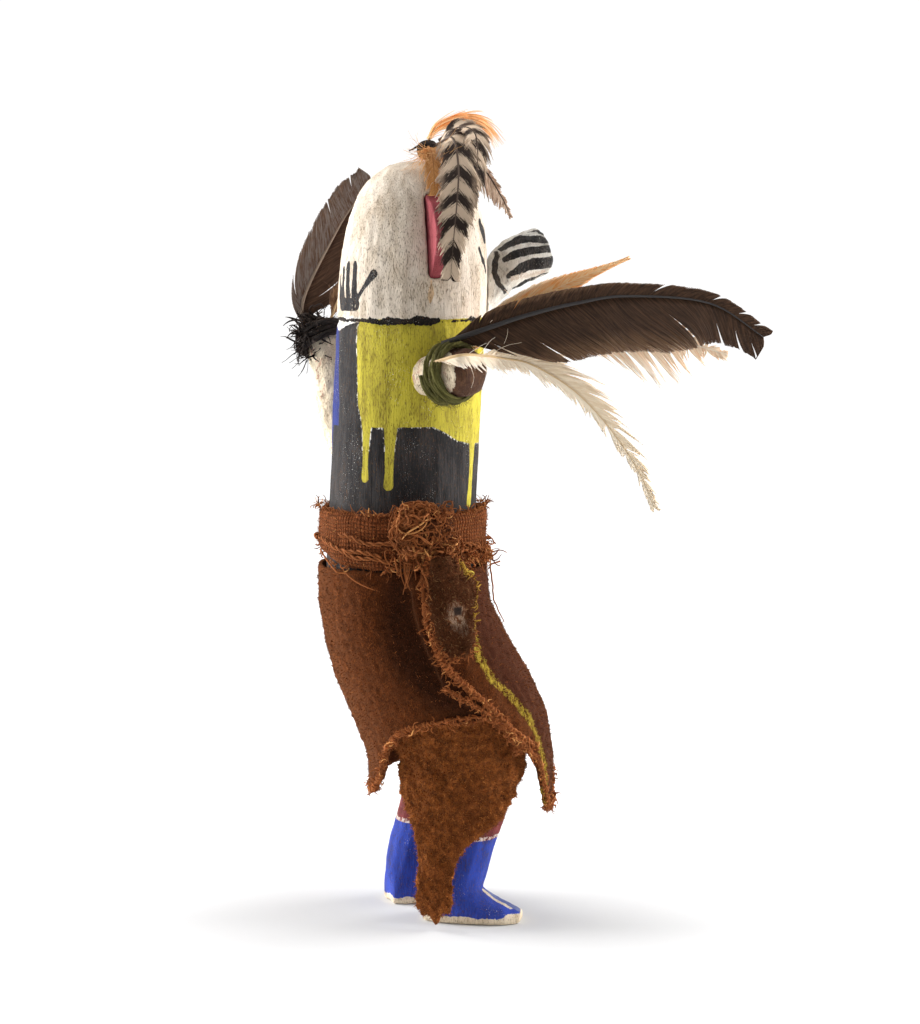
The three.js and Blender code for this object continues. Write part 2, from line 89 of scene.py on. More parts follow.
LOG = logging.getLogger("kachina")
MM = 0.001
SOLE = 1.4
BELT_BEHIND = 0.92
WIDEST = (53.2, 80.2)
LEAN = 0.05
LEAN_ZERO_UP = 165.0
UP = Vector((0, 0, 1))
SLANT = Vector((0.3, 0.2, 0.9))
OUTSIDE = -5.0
FAR_OUTSIDE = -9.0
FUZZ_TINT = (1.0, 0.46, 0.2, 1.0)


# ------------------------------------------------------------------------------- the frame
class Route:
    """A smooth curve through points, read by its share from 0 to 1."""

    def __init__(self, points: Sequence[Vector]) -> None:
        """Keeps the points, with one more run on at each end."""
        self.points = [points[0] * 2 - points[1], *points, points[-1] * 2 - points[-2]]
        self.spans = len(points) - 1

    def at(self, share: float) -> Vector:
        """Gives the point at a share; past either end the curve runs on straight."""
        if share > 1:
            return self.points[-2] + self.heading(1) * ((share - 1) * self.length())
        place = max(share, 0.0) * self.spans
        index = min(int(place), self.spans - 1)
        t = place - index
        a, b, c, d = self.points[index : index + 4]
        curve = b * 2 + (c - a) * t + (a * 2 - b * 5 + c * 4 - d) * t**2
        return (curve + (b * 3 - a - c * 3 + d) * t**3) / 2

    def heading(self, share: float) -> Vector:
        """Gives the direction of travel at a share."""
        low = min(max(share - 0.01, 0.0), 0.98)
        return (self.at(low + 0.02) - self.at(low)).normalized()

    def length(self) -> float:
        """Adds up the curve's length, in metres."""
        stops = [self.at(i / 40) for i in range(41)]
        return sum((b - a).length for a, b in zip(stops, stops[1:]))


@dataclass(frozen=True)
class DollSpace:
    """The doll's own directions inside the shared frame.

    Attributes:
        middle_x: Frame x of the body's middle plane, in metres.
        middle_y: Frame y of the doll's zero forward, in metres.
    """

    middle_x: float
    middle_y: float

    @classmethod
    def from_frame(cls) -> DollSpace:
        """Reads the body's middle from the round belt, which sits a little behind zero."""
        low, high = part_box("belt")
        return cls((low.x + high.x) / 2, (low.y + high.y) / 2 - BELT_BEHIND * MM)

    def at(self, forward: float, right: float, up: float) -> Vector:
        """Places a point, given in millimetres from the middle and the soles' top."""
        return Vector((self.middle_x - right * MM, self.middle_y - forward * MM, (up + SOLE) * MM))

    def turned(self, forward: float, right: float, up: float) -> Vector:
        """Turns a direction of the doll's into the frame, at length one."""
        return Vector((-right, -forward, up)).normalized()

    def level(self, degrees: float) -> Vector:
        """Gives the level direction at an angle from the front round by the doll's right."""
        turn = math.radians(degrees)
        return self.turned(math.cos(turn), math.sin(turn), 0)

    def route(self, places: Stroke) -> Route:
        """Runs a curve through places."""
        return Route([self.at(*place) for place in places])

    def read(self, points: Array) -> tuple[Array, Array, Array]:
        """Turns frame points into forward, right and up, in millimetres."""
        forward = (self.middle_y - points[:, 1]) / MM
        right = (self.middle_x - points[:, 0]) / MM
        return forward, right, points[:, 2] / MM - SOLE


def smoothstep(value: float, low: float, high: float) -> float:
    """Eases from 0 at low to 1 at high."""
    share = min(max((value - low) / (high - low), 0.0), 1.0)
    return share * share * (3 - 2 * share)


def lerp(low: float, high: float, share: float) -> float:
    """Goes straight from low to high."""
    return low + (high - low) * share


# ------------------------------------------------------------------------------- node trees
def paint(colour: tuple[int, int, int]) -> tuple[float, ...]:
    """Turns a colour as it looks, 0 to 255, into linear light."""
    parts = [part / 255 for part in colour]
    return (*(part / 12.92 if part < 0.04045 else ((part + 0.055) / 1.055) ** 2.4 for part in parts), 1.0)


class Tree:
    """Adds and joins the nodes of one material or group."""

    def __init__(self, tree: bpy.types.NodeTree) -> None:
        """Keeps the tree that the nodes go in."""
        self.tree = tree

    def add(self, kind: str, **settings: object) -> Node:
        """Adds a shader node of a kind and sets its options."""
        node = self.tree.nodes.new(kind)
        for name, value in settings.items():
            setattr(node, name, value)
        return node

    def feed(self, socket: Socket, value: object) -> None:
        """Links a socket, or sets its number or its colour as it looks."""
        if isinstance(value, Socket):
            self.tree.links.new(value, socket)
        elif value is not None:
            socket.default_value = paint(value) if isinstance(value, tuple) else value

    def math(self, operation: str, first: object, second: object = None) -> Socket:
        """Does sums with one or two values."""
        node = self.add("ShaderNodeMath", operation=operation)
        self.feed(node.inputs[0], first)
        self.feed(node.inputs[1], second)
        return node.outputs[0]

    def times(self, first: object, second: object) -> Socket:
        """Multiplies two values."""
        return self.math("MULTIPLY", first, second)

    def plus(self, first: object, second: object) -> Socket:
        """Adds two values."""
        return self.math("ADD", first, second)

    def smooth(self, value: object, low: object, high: object) -> Socket:
        """Eases a value from 0 at low to 1 at high."""
        node = self.add("ShaderNodeMapRange", interpolation_type="SMOOTHSTEP")
        for socket, given in zip(node.inputs, (value, low, high)):
            self.feed(socket, given)
        return node.outputs[0]

    def mix(self, factor: object, low: object, high: object) -> Socket:
        """Mixes two colours."""
        node = self.add("ShaderNodeMix", data_type="RGBA")
        for index, given in ((0, factor), (6, low), (7, high)):
            self.feed(node.inputs[index], given)
        return node.outputs[2]

    def value(self, name: str) -> Socket:
        """Reads a number kept on the mesh's points."""
        return self.add("ShaderNodeAttribute", attribute_name=name).outputs["Fac"]

    def noise(self, where: Socket | Triple, scale: float, detail: float = 3, rough: float = 0.6) -> Socket:
        """Reads a cloudy pattern between 0 and 1.

        Args:
            where: Where it is read, or how far it is stretched along each of the piece's axes.
            scale: How many of its clouds fit in a millimetre, before the stretch.
            detail: How many finer layers it has.
            rough: How strong the finer layers are.

        Returns:
            The pattern's value.
        """
        if isinstance(where, tuple):
            mapping = self.add("ShaderNodeMapping")
            self.feed(mapping.inputs["Vector"], self.add("ShaderNodeTexCoord").outputs["Object"])
            mapping.inputs["Scale"].default_value = [1 / (MM * part) for part in where]
            where = mapping.outputs["Vector"]
        node = self.add("ShaderNodeTexNoise")
        for name, given in (("Vector", where), ("Scale", scale), ("Detail", detail), ("Roughness", rough)):
            self.feed(node.inputs[name], given)
        return node.outputs["Fac"]

    def place(self, group: bpy.types.NodeTree, **given: object) -> bpy.types.NodeOutputs:
        """Places a shared effect with its own values."""
        node = self.add("ShaderNodeGroup", node_tree=group)
        for name, value in given.items():
            self.feed(node.inputs[name.capitalize()], value)
        return node.outputs


class Effects:
    """The shared effects, each built once."""

    def __init__(self) -> None:
        """Builds the groups."""
        self.edge = self._paint_edge()
        self.grain = self._wood_grain()
        self.wool = self._wool_fibre()
        self.barbs = self._barb_streaks()

    def _start(self, name: str, inputs: dict[str, float], outputs: Sequence[str]) -> tuple:
        """Starts a group, and gives its tree, what it is given and what it gives out."""
        group = bpy.data.node_groups.new(name, "ShaderNodeTree")
        for label, default in inputs.items():
            socket = group.interface.new_socket(label, in_out="INPUT", socket_type="NodeSocketFloat")
            socket.default_value = default
        for label in outputs:
            group.interface.new_socket(label, in_out="OUTPUT", socket_type="NodeSocketFloat")
        tree = Tree(group)
        return tree, tree.add("NodeGroupInput").outputs, tree.add("NodeGroupOutput").inputs

    def _paint_edge(self) -> bpy.types.NodeTree:
        """Turns a distance inside a painted area into a mask with a brushed edge."""
        start = {"Distance": 0, "Rough": 0.5, "Soft": 0.15, "Wear": 0.0}
        tree, given, out = self._start("PaintEdge", start, ("Mask",))
        ragged = tree.math("SUBTRACT", tree.noise((1, 1, 1.7), 0.7, 4, 0.65), 0.5)
        moved = tree.plus(given["Distance"], tree.times(ragged, given["Rough"]))
        mask = tree.smooth(moved, tree.times(given["Soft"], -1), given["Soft"])
        kept = tree.smooth(tree.noise((1, 1, 3), 1.1, 5, 0.7), given["Wear"], tree.plus(given["Wear"], 0.06))
        tree.feed(out["Mask"], tree.times(mask, kept))
        return tree.tree

    def _wood_grain(self) -> bpy.types.NodeTree:
        """Long vertical grain, pores, broad clouds and specks of chalk dust."""
        tree, _, out = self._start("WoodGrain", {}, ("Grain", "Pores", "Cloud", "Specks"))
        tree.feed(out["Grain"], tree.noise((0.6, 0.6, 9), 1.3, 4, 0.62))
        cloud = tree.noise((6, 6, 14), 1.0)
        low = tree.math("SUBTRACT", 0.66, tree.times(cloud, 0.2))
        tree.feed(out["Pores"], tree.smooth(tree.noise((0.35, 0.35, 1.6), 1.2), low, tree.plus(low, 0.1)))
        tree.feed(out["Cloud"], cloud)
        dust = tree.smooth(tree.noise((0.5, 0.5, 0.7), 1.3, 2, 0.7), 0.66, 0.7)
        sparse = tree.smooth(tree.noise((11, 11, 16), 1.0, 2, 0.5), 0.5, 0.68)
        tree.feed(out["Specks"], tree.times(dust, sparse))
        return tree.tree

    def _wool_fibre(self) -> bpy.types.NodeTree:
        """Felted wool: fine matted fibres over broad worn patches."""
        tree, given, out = self._start("WoolFibre", {"Lumps": 0.4}, ("Fibre", "Patch"))
        fine = tree.noise((0.5, 0.5, 0.9), 1.5, 6, 0.75)
        tufts = tree.noise((2, 2, 2.4), 1.0, 2)
        lumps = tree.times(tree.math("SUBTRACT", tufts, fine), given["Lumps"])
        tree.feed(out["Fibre"], tree.plus(fine, lumps))
        tree.feed(out["Patch"], tree.noise((9, 9, 14), 1.0, 4))
        return tree.tree

    def _barb_streaks(self) -> bpy.types.NodeTree:
        """Streaks that follow each barb of a feather outwards."""
        tree, given, out = self._start("BarbStreaks", {"Strand": 0, "Reach": 0, "Length": 3.0}, ("Streak",))
        where = tree.add("ShaderNodeCombineXYZ")
        tree.feed(where.inputs[0], tree.times(given["Strand"], 37.0))
        tree.feed(where.inputs[1], tree.times(given["Reach"], given["Length"]))
        tree.feed(out["Streak"], tree.noise(where.outputs[0], 1.0))
        return tree.tree


class Finish:
    """A material with one Principled shader."""

    def __init__(self, name: str, roughness: float, sheen: float = 0.0, gloss: float = 0.3) -> None:
        """Starts the material, with its dullness, its soft fibre sheen and its reflections."""
        self.material = bpy.data.materials.new(name)
        self.material.use_nodes = True
        self.tree = Tree(self.material.node_tree)
        self.shader = self.material.node_tree.nodes["Principled BSDF"].inputs
        settings = (
            ("Roughness", roughness), ("Specular IOR Level", gloss), ("Sheen Weight", sheen),
            ("Sheen Roughness", 0.5), ("Sheen Tint", FUZZ_TINT),
        )
        for label, value in settings:
            self.shader[label].default_value = value

    def close(self, colour: Socket, height: Socket, strength: float, deep: float) -> Material:
        """Colours the surface and roughens it by a height, deep millimetres at most."""
        self.tree.feed(self.shader["Base Color"], colour)
        node = self.tree.add("ShaderNodeBump")
        for label, value in (("Strength", strength), ("Distance", deep * MM), ("Height", height)):
            self.tree.feed(node.inputs[label], value)
        self.tree.feed(self.shader["Normal"], node.outputs["Normal"])
        return self.material


@dataclass(frozen=True)
class PaintLayer:
    """One painted colour laid over what is under it.

    Attributes:
        area: The point value that says how far inside the area a place is, in millimetres.
        colour: The paint.
        shade: The same paint where it is thin or grimy.
        rough: How ragged its edge is, in millimetres.
        wear: How much is rubbed away, from 0 to 1.
        soft: How far its edge fades in wool, in millimetres.
    """

    area: str
    colour: Triple
    shade: Triple
    rough: float = 0.8
    wear: float = 0.0
    soft: float = 0.5

    def lay(self, tree: Tree, effects: Effects, under: Socket, over: Socket, soft: float) -> Socket:
        """Lays a colour over what is under it, inside the area."""
        given = {"distance": tree.value(self.area), "rough": self.rough, "soft": soft, "wear": self.wear}
        return tree.mix(tree.place(effects.edge, **given)["Mask"], under, over)


@dataclass(frozen=True)
class PaintedWood:
    """Carved wood under worn mineral paint."""

    name: str
    bare: Triple
    bare_shade: Triple
    layers: tuple[PaintLayer, ...]
    grime: Triple
    roughness: float = 0.85
    pitting: float = 0.62
    brushed: float = 0.12

    def build(self, effects: Effects) -> Material:
        """Builds the material, layer over layer."""
        made = Finish(self.name, self.roughness, 0.0, 0.22)
        tree = made.tree
        wood = tree.place(effects.grain)
        cloud, grain, pores = wood["Cloud"], wood["Grain"], wood["Pores"]
        colour = tree.mix(tree.smooth(cloud, 0.35, 0.7), self.bare, self.bare_shade)
        streaks = tree.smooth(tree.plus(tree.times(cloud, 0.55), tree.times(grain, 0.45)), 0.4, 0.66)
        for layer in self.layers:
            over = tree.mix(streaks, layer.colour, layer.shade)
            colour = layer.lay(tree, effects, colour, over, self.brushed)
        colour = tree.mix(tree.times(pores, self.pitting), colour, self.grime)
        colour = tree.mix(tree.times(wood["Specks"], 0.8), colour, CHALK)
        return made.close(colour, tree.math("SUBTRACT", grain, tree.times(pores, 0.6)), 0.9, 0.45)


@dataclass(frozen=True)
class Wool:
    """Felted or woven wool, darker in its depths and rusty on its raised fibres.

    Attributes:
        deep: The colour between the fibres.
        raised: The colour of the raised fibres.
        worn: The colour of its worn patches.
        weave: The pitch of its threads in millimetres, or 0 for felt.
        stains: What is painted on it.
        lumps: How strongly its tufts show.
    """

    name: str
    deep: Triple
    raised: Triple
    worn: Triple
    weave: float = 0.0
    stains: tuple[PaintLayer, ...] = ()
    lumps: float = 0.14

    def build(self, effects: Effects) -> Material:
        """Builds the wool."""
        made = Finish(self.name, 0.95, 0.14, 0.04)
        tree = made.tree
        wool = tree.place(effects.wool, lumps=self.lumps)
        fibre = height = wool["Fibre"]
        colour = tree.mix(tree.smooth(fibre, 0.36, 0.68), self.deep, self.raised)
        colour = tree.mix(tree.times(tree.smooth(wool["Patch"], 0.45, 0.75), 0.6), colour, self.worn)
        if self.weave:
            thread = tree.times(*(self._thread(tree, name) for name in ("around", "up")))
            colour = tree.mix(tree.times(tree.math("SUBTRACT", 1.0, thread), 0.65), colour, self.deep)
            height = tree.plus(tree.times(fibre, 0.4), thread)
        for stain in self.stains:
            over = tree.mix(tree.smooth(fibre, 0.4, 0.6), stain.shade, stain.colour)
            colour = stain.lay(tree, effects, colour, over, stain.soft)
        return made.close(colour, height, 0.9, 0.5)

    def _thread(self, tree: Tree, name: str) -> Socket:
        """Gives the height of the threads that cross one of the piece's own distances."""
        return tree.math("ABSOLUTE", tree.math("SINE", tree.times(tree.value(name), math.pi / self.weave)))


@dataclass(frozen=True)
class FibreFinish:
    """Loose fibres and threads, each strand of its own tone from dark to light, a few odd."""

    name: str
    dark: Triple
    light: Triple
    odd: Triple
    sheen: float = 0.05

    def build(self, effects: Effects) -> Material:
        """Builds the strand material from each strand's tone."""
        made = Finish(self.name, 0.85, self.sheen, 0.08)
        tree = made.tree
        tone = tree.value("tone")
        twist = tree.noise((0.5, 0.5, 0.5), 1.4)
        colour = tree.mix(tree.times(tree.plus(tone, twist), 0.5), self.dark, self.light)
        colour = tree.mix(tree.smooth(tone, 0.9, 0.97), colour, self.odd)
        return made.close(colour, twist, 0.5, 0.15)


class Pattern(Enum):
    """How a feather's vane is coloured."""

    STREAKED = "streaked"
    BARRED = "barred"


@dataclass(frozen=True)
class FeatherFinish:
    """A feather's vane and quill.

    Attributes:
        vane: The vane's main colour.
        streak: The colour of its streaks or bars.
        edge: The colour towards the tips of the barbs.
        quill: The colour of the shaft.
        pattern: How streak and vane alternate.
        bars: How many bars run along a barred feather.
        far: The main colour of the lower vane, where it differs.
        sheen: How much light its soft barbs catch at a slant.
    """

    name: str
    vane: Triple
    streak: Triple
    edge: Triple
    quill: Triple
    pattern: Pattern = Pattern.STREAKED
    bars: float = 6.6
    far: Triple | None = None
    sheen: float = 0.05

    def build(self, effects: Effects) -> Material:
        """Builds the feather's material from the values on its strands."""
        made = Finish(self.name, 0.55, self.sheen, 0.14)
        tree = made.tree
        reach = tree.value("reach")
        streak = tree.place(effects.barbs, strand=tree.value("strand"), reach=reach, length=2.5)["Streak"]
        colour = tree.mix(tree.value("side"), self.vane, self.far or self.vane)
        if self.pattern is Pattern.STREAKED:
            mask = tree.smooth(streak, 0.38, 0.66)
        else:
            swept = tree.plus(tree.value("along"), tree.times(reach, 0.05))
            moved = tree.plus(swept, tree.times(streak, 0.13))
            mask = tree.smooth(tree.math("SINE", tree.times(moved, self.bars * 2 * math.pi)), -0.55, 0.5)
        colour = tree.mix(mask, colour, self.streak)
        worn = tree.times(tree.smooth(reach, 0.55, 1.0), tree.smooth(streak, 0.3, 0.6))
        colour = tree.mix(worn, colour, self.edge)
        colour = tree.mix(tree.value("quill"), colour, self.quill)
        return made.close(colour, streak, 0.4, 0.12)


# ------------------------------------------------------------------------------- meshes
def only(piece: Piece) -> None:
    """Makes one object the only one selected, and active."""
    bpy.ops.object.select_all(action="DESELECT")
    piece.select_set(True)
    bpy.context.view_layer.objects.active = piece


def edit_all(piece: Piece, operator: Callable, **settings: object) -> None:
    """Runs a mesh operator on the whole of a piece."""
    only(piece)
    bpy.ops.object.mode_set(mode="EDIT")
    bpy.ops.mesh.select_all(action="SELECT")
    operator(**settings)
    bpy.ops.object.mode_set(mode="OBJECT")


def apply_modifier(piece: Piece, kind: str, **settings: object) -> None:
    """Adds a modifier, sets it and applies it."""
    only(piece)
    modifier = piece.modifiers.new(kind.title(), kind)
    for name, value in settings.items():
        setattr(modifier, name, value)
    bpy.ops.object.modifier_apply(modifier=modifier.name)


def points_of(piece: Piece, what: str = "co") -> Array:
    """Reads the mesh's points in metres, or their normals."""
    flat = np.empty(len(piece.data.vertices) * 3)
    piece.data.vertices.foreach_get(what, flat)
    return flat.reshape(-1, 3)


def move_points(piece: Piece, points: Array) -> None:
    """Puts the mesh's points at new places."""
    piece.data.vertices.foreach_set("co", points.ravel())
    piece.data.update()


def displace(piece: Piece, amounts: Array) -> None:
    """Moves each point along its normal by an amount in millimetres."""
    move_points(piece, points_of(piece) + points_of(piece, "normal") * (amounts * MM)[:, None])


def keep_values(piece: Piece, **values: Array) -> None:
    """Keeps numbers on the mesh's points, for its material to read."""
    for name, numbers in values.items():
        attribute = piece.data.attributes.new(name, "FLOAT", "POINT")
        attribute.data.foreach_set("value", np.asarray(numbers, dtype=np.float32))


def clouds(points: Array, size: float | Triple, seed: float) -> Array:
    """Reads smooth noise at points, with a size in millimetres, or one along each axis."""
    return np.array([noise.noise(Vector(place)) for place in points / (np.array(size) * MM) + seed])


def new_piece(name: str, points: Sequence, faces: Sequence[tuple[int, ...]]) -> Piece:
    """Makes an object from its points and faces."""
    mesh = bpy.data.meshes.new(name)
    mesh.from_pydata([tuple(point) for point in points], [], faces)
    mesh.update()
    piece = bpy.data.objects.new(name, mesh)
    bpy.context.scene.collection.objects.link(piece)
    return piece


class Draft:
    """The points, faces and point values of one mesh made of many strands."""

    def __init__(self) -> None:
        """Starts empty."""
        self.points: list[Vector] = []
        self.faces: list[tuple[int, ...]] = []
        self.values: dict[str, list[float]] = {}

    def strand(
        self, path: Sequence[Vector], wide: Sequence[float], thick: Sequence[float], out: Vector, sides: int,
        **values: Sequence[float] | float,
    ) -> None:
        """Adds a closed strand along a path.

        Args:
            path: Its points, in metres.
            wide: Half its width at each point, in millimetres.
            thick: Half its thickness at each point, in millimetres.
            out: The direction of its thickness where it starts.
            sides: How many sides it has.
            **values: Numbers kept on its points, one for all or one for each point of the path.
        """
        start, last = len(self.points), len(path) - 1
        for index, place in enumerate(path):
            travel = path[min(index + 1, last)] - path[max(index - 1, 0)]
            across = out.cross(travel)
            across = across.normalized() if across.length > 1e-12 else Vector((1, 0, 0))
            out = travel.cross(across).normalized()
            for side in range(sides):
                angle = 2 * math.pi * side / sides
                spread = across * (math.cos(angle) * wide[index] * MM)
                self.points.append(place + spread + out * (math.sin(angle) * thick[index] * MM))
            for name, given in values.items():
                number = given if isinstance(given, (int, float)) else given[index]
                self.values.setdefault(name, []).extend([number] * sides)
        for near in range(start, start + last * sides, sides):
            for side in range(sides):
                after = (side + 1) % sides
                self.faces.append((near + side, near + after, near + sides + after, near + sides + side))
        self.faces.append(tuple(start + side for side in reversed(range(sides))))
        self.faces.append(tuple(start + last * sides + side for side in range(sides)))

    def barb(
        self, path: Sequence[Vector], wide: Sequence[float], thick: Sequence[float], out: Vector,
        along: float, reach: Sequence[float] | float, strand: float, side: float = 0.0,
    ) -> None:
        """Adds one barb of a feather."""
        values = {"along": along, "reach": reach, "strand": strand, "side": side, "quill": 0.0}
        self.strand(path, wide, thick, out, 4, **values)

    def thread(self, path: Sequence[Vector], radius: float, tone: float, sides: int = 5) -> None:
        """Adds a round thread that thins a little towards its end."""
        last = max(len(path) - 1, 1)
        sizes = [radius * (1 - 0.45 * (index / last) ** 3) for index in range(len(path))]
        self.strand(path, sizes, sizes, Vector((0.31, 0.23, 0.92)), sides, tone=tone)

    def build(self, name: str) -> Piece:
        """Makes the object, smooth and with its faces outwards."""
        piece = new_piece(name, self.points, self.faces)
        keep_values(piece, **self.values)
        edit_all(piece, bpy.ops.mesh.normals_make_consistent, inside=False)
        bpy.ops.object.shade_smooth()
        return piece


@dataclass(frozen=True)
class Nap:
    """Short bent fibres that stand on a cloth.

    Attributes:
        name: The fibres' name.
        count: How many fibres there are.
        length: Their usual length, in millimetres.
        radius: Their radius at the root, in millimetres.
        lean: How far they lie over, as a share of their length.
        seed: What their places are drawn from.
        fall: How far they hang down, as a share of their length.
    """

    name: str
    count: int
    length: float
    radius: float
    lean: float
    seed: int
    fall: float = 0.35

    def grow(self, cloth: Piece, keep: Callable[[Array, Array], Array]) -> Piece:
        """Grows the fibres where the cloth keeps them.

        Args:
            cloth: The cloth's object.
            keep: Says from points and normals how much nap the faces carry.

        Returns:
            The fibres as one object.
        """
        rng = np.random.default_rng(self.seed)
        mesh = cloth.data
        mesh.calc_loop_triangles()
        corners = np.empty(len(mesh.loop_triangles) * 3, dtype=np.int32)
        mesh.loop_triangles.foreach_get("vertices", corners)
        triangles = points_of(cloth)[corners.reshape(-1, 3)]
        edge_a, edge_b = triangles[:, 1] - triangles[:, 0], triangles[:, 2] - triangles[:, 0]
        crossed = np.cross(edge_a, edge_b)
        area = np.linalg.norm(crossed, axis=1)
        normal = crossed / np.maximum(area, 1e-15)[:, None]
        weight = area * keep(triangles.mean(axis=1), normal)
        chosen = rng.choice(len(area), self.count, p=weight / weight.sum())
        share = np.sort(rng.random((self.count, 2)), axis=1)
        root = triangles[chosen, 0] + edge_a[chosen] * share[:, :1] + edge_b[chosen] * (1 - share[:, 1:])
        return self._fibres(root - normal[chosen] * 0.2 * MM, normal[chosen], rng)

    def _fibres(self, root: Array, out: Array, rng: np.random.Generator) -> Piece:
        """Makes one bent three-sided fibre on each root."""

        def unit(ways: Array) -> Array:
            """Makes every way one unit long."""
            return ways / np.linalg.norm(ways, axis=1)[:, None]

        count = len(root)
        long = (self.length * MM * (0.45 + 1.1 * rng.random(count)))[:, None]
        bend = rng.normal(size=(count, 3)) * self.lean
        bend[:, 2] -= self.fall
        middle = root + unit(out + bend * 0.5) * long * 0.5
        tip = middle + unit(out * 0.5 + bend) * long * 0.5
        side = unit(np.cross(out, rng.normal(size=(count, 3))))
        other = np.cross(out, side)
        rings = [
            centre + (side * math.cos(turn) + other * math.sin(turn)) * size
            for centre, size in ((root, self.radius * MM), (middle, self.radius * 0.75 * MM))
            for turn in (0, 2 * math.pi / 3, 4 * math.pi / 3)
        ]
        points = np.stack([*rings, tip], axis=1)
        pattern = [(0, 2, 1), (0, 1, 4, 3), (1, 2, 5, 4), (2, 0, 3, 5), (3, 4, 6), (4, 5, 6), (5, 3, 6)]
        faces = [
            tuple(base + corner for corner in face)
            for base in range(0, count * 7, 7)
            for face in pattern
        ]
        piece = new_piece(self.name, points.reshape(-1, 3).tolist(), faces)
        keep_values(piece, tone=np.repeat(rng.random(count), 7))
        only(piece)
        bpy.ops.object.shade_smooth()
        return piece


# ------------------------------------------------------------------------------- the finishes
CREAM = (222, 209, 192)
CHALK = (238, 234, 226)
SOOT = (33, 31, 32)
INK = (26, 25, 27)
INK_WORN = (60, 58, 58)
STRIPE_INK = (30, 29, 30)

MASK_PAINT = PaintedWood(
    "painted_wood", CREAM, (200, 183, 161),
    (
        PaintLayer("torso", SOOT, (62, 58, 57), 0.9),
        PaintLayer("under_yellow", CHALK, (190, 186, 160), 1.2, 0.5),
        PaintLayer("yellow", (200, 186, 62), (160, 144, 48), 0.6, 0.17),
        PaintLayer("blue", (32, 44, 112), (24, 33, 82), 0.7, 0.2),
        PaintLayer("plaster", CHALK, (206, 198, 186), 2.6, 0.3),
        PaintLayer("crack", (20, 17, 16), (34, 28, 24), 2.2),
        PaintLayer("hand", INK, INK_WORN, 0.7, 0.3),
        PaintLayer("eyes", INK, INK_WORN, 0.7, 0.3),
        PaintLayer("stain", (204, 164, 122), (214, 186, 152), 1.6, 0.3),
        PaintLayer("legs", (118, 48, 48), (88, 36, 36), 0.8, 0.24),
        PaintLayer("gap", (226, 216, 206), (190, 160, 150), 2.2, 0.46),
        PaintLayer("boots", (48, 70, 168), (38, 54, 128), 0.8, 0.2),
        PaintLayer("boot_top", (112, 122, 160), (78, 92, 156), 1.2, 0.3),
        PaintLayer("ridge", (222, 208, 182), (196, 178, 150), 1.3, 0.34),
        PaintLayer("soles", (226, 210, 184), (190, 168, 136), 1.5),
    ),
    (104, 76, 54),
)
SNOUT_PAINT = PaintedWood(
    "striped_wood", (230, 227, 219), (184, 180, 172),
    (
        PaintLayer("stripes", STRIPE_INK, (72, 70, 68), 1.1, 0.3),
        PaintLayer("collar", STRIPE_INK, (70, 66, 64), 1.2, 0.25),
        PaintLayer("chipped", (212, 202, 190), (180, 152, 132), 2.4, 0.42),
    ),
    (110, 98, 86),
)
EAR_PAINT = PaintedWood(
    "red_wood", (160, 76, 82), (140, 60, 66),
    (PaintLayer("worn", (182, 112, 110), (150, 70, 74), 2.2, 0.5),),
    (92, 30, 34),
)
ARM_WOOD = PaintedWood(
    "bare_wood", (226, 212, 186), (206, 186, 156),
    (
        PaintLayer("stain", (190, 150, 128), (206, 178, 152), 3.0, 0.5),
        PaintLayer("cuff", (214, 198, 60), (170, 154, 50), 2.0, 0.3),
        PaintLayer("dark_end", (70, 46, 34), (104, 72, 50), 2.5, 0.2),
    ),
    (120, 92, 66),
)
BELT_WOOL = Wool("belt_wool", (42, 21, 11), (170, 94, 52), (108, 58, 32), weave=1.35)
KILT_WOOL = Wool(
    "kilt_wool", (36, 17, 8), (118, 62, 28), (72, 37, 18),
    stains=(
        # Painted shade: a dark band beside the lapped panel's edge, standing in for the shadow that the fold
        # casts there.
        PaintLayer("unfaded", (62, 31, 16), (32, 16, 9), 5.0, 0.0, 6.0),
        PaintLayer("maroon", (70, 33, 22), (42, 20, 14), 4.0, 0.2, 4.0),
        PaintLayer("stripe", (204, 180, 68), (148, 116, 40), 3.0, 0.47),
    ),
)
FLAP_WOOL = Wool(
    "flap_wool", (40, 22, 12), (104, 60, 34), (86, 56, 36),
    stains=(
        PaintLayer("spot_ring", (150, 124, 104), (88, 66, 50), 2.8, 0.44, 0.9),
        PaintLayer("spot", (30, 26, 26), (22, 20, 20), 0.6),
    ),
)
CLOTH_WOOL = Wool("cloth_wool", (48, 24, 10), (166, 95, 45), (102, 54, 25), lumps=0.3)
KNOT_WOOL = Wool("knot_core", (40, 20, 11), (88, 46, 26), (64, 32, 18))
BELT_THREAD = FibreFinish("belt_thread", (66, 34, 16), (172, 102, 56), (206, 146, 88), 0.15)
KILT_NAP = FibreFinish("kilt_nap", (34, 16, 8), (116, 62, 28), (164, 96, 48), 0.1)
FLAP_NAP = FibreFinish("flap_nap", (48, 26, 14), (122, 70, 40), (160, 122, 84))
GOLD_THREAD = FibreFinish("gold_thread", (126, 90, 32), (206, 164, 66), (214, 190, 84))
HEM_NAP = FibreFinish("hem_threads", (58, 28, 12), (190, 112, 62), (214, 150, 88), 0.15)
STRIPE_NAP = FibreFinish("stripe_nap", (150, 120, 42), (208, 186, 76), (110, 66, 30))
CLOTH_NAP = FibreFinish("cloth_nap", (60, 30, 13), (166, 95, 45), (204, 130, 68), 0.15)
GREEN_YARN = FibreFinish("green_yarn", (36, 38, 22), (112, 108, 60), (150, 92, 40))
BLACK_YARN = FibreFinish("black_yarn", (22, 20, 20), (58, 54, 52), (90, 80, 72))
STRING = FibreFinish("string", (24, 22, 22), (62, 58, 56), (120, 90, 60))
DARK_VANE = FeatherFinish("dark_feather", (46, 32, 23), (80, 57, 41), (122, 94, 70), (58, 56, 56))
GREY_VANE = FeatherFinish(
    "grey_feather", (56, 40, 31), (84, 62, 48), (110, 86, 70), (134, 118, 104), far=(124, 114, 108)
)
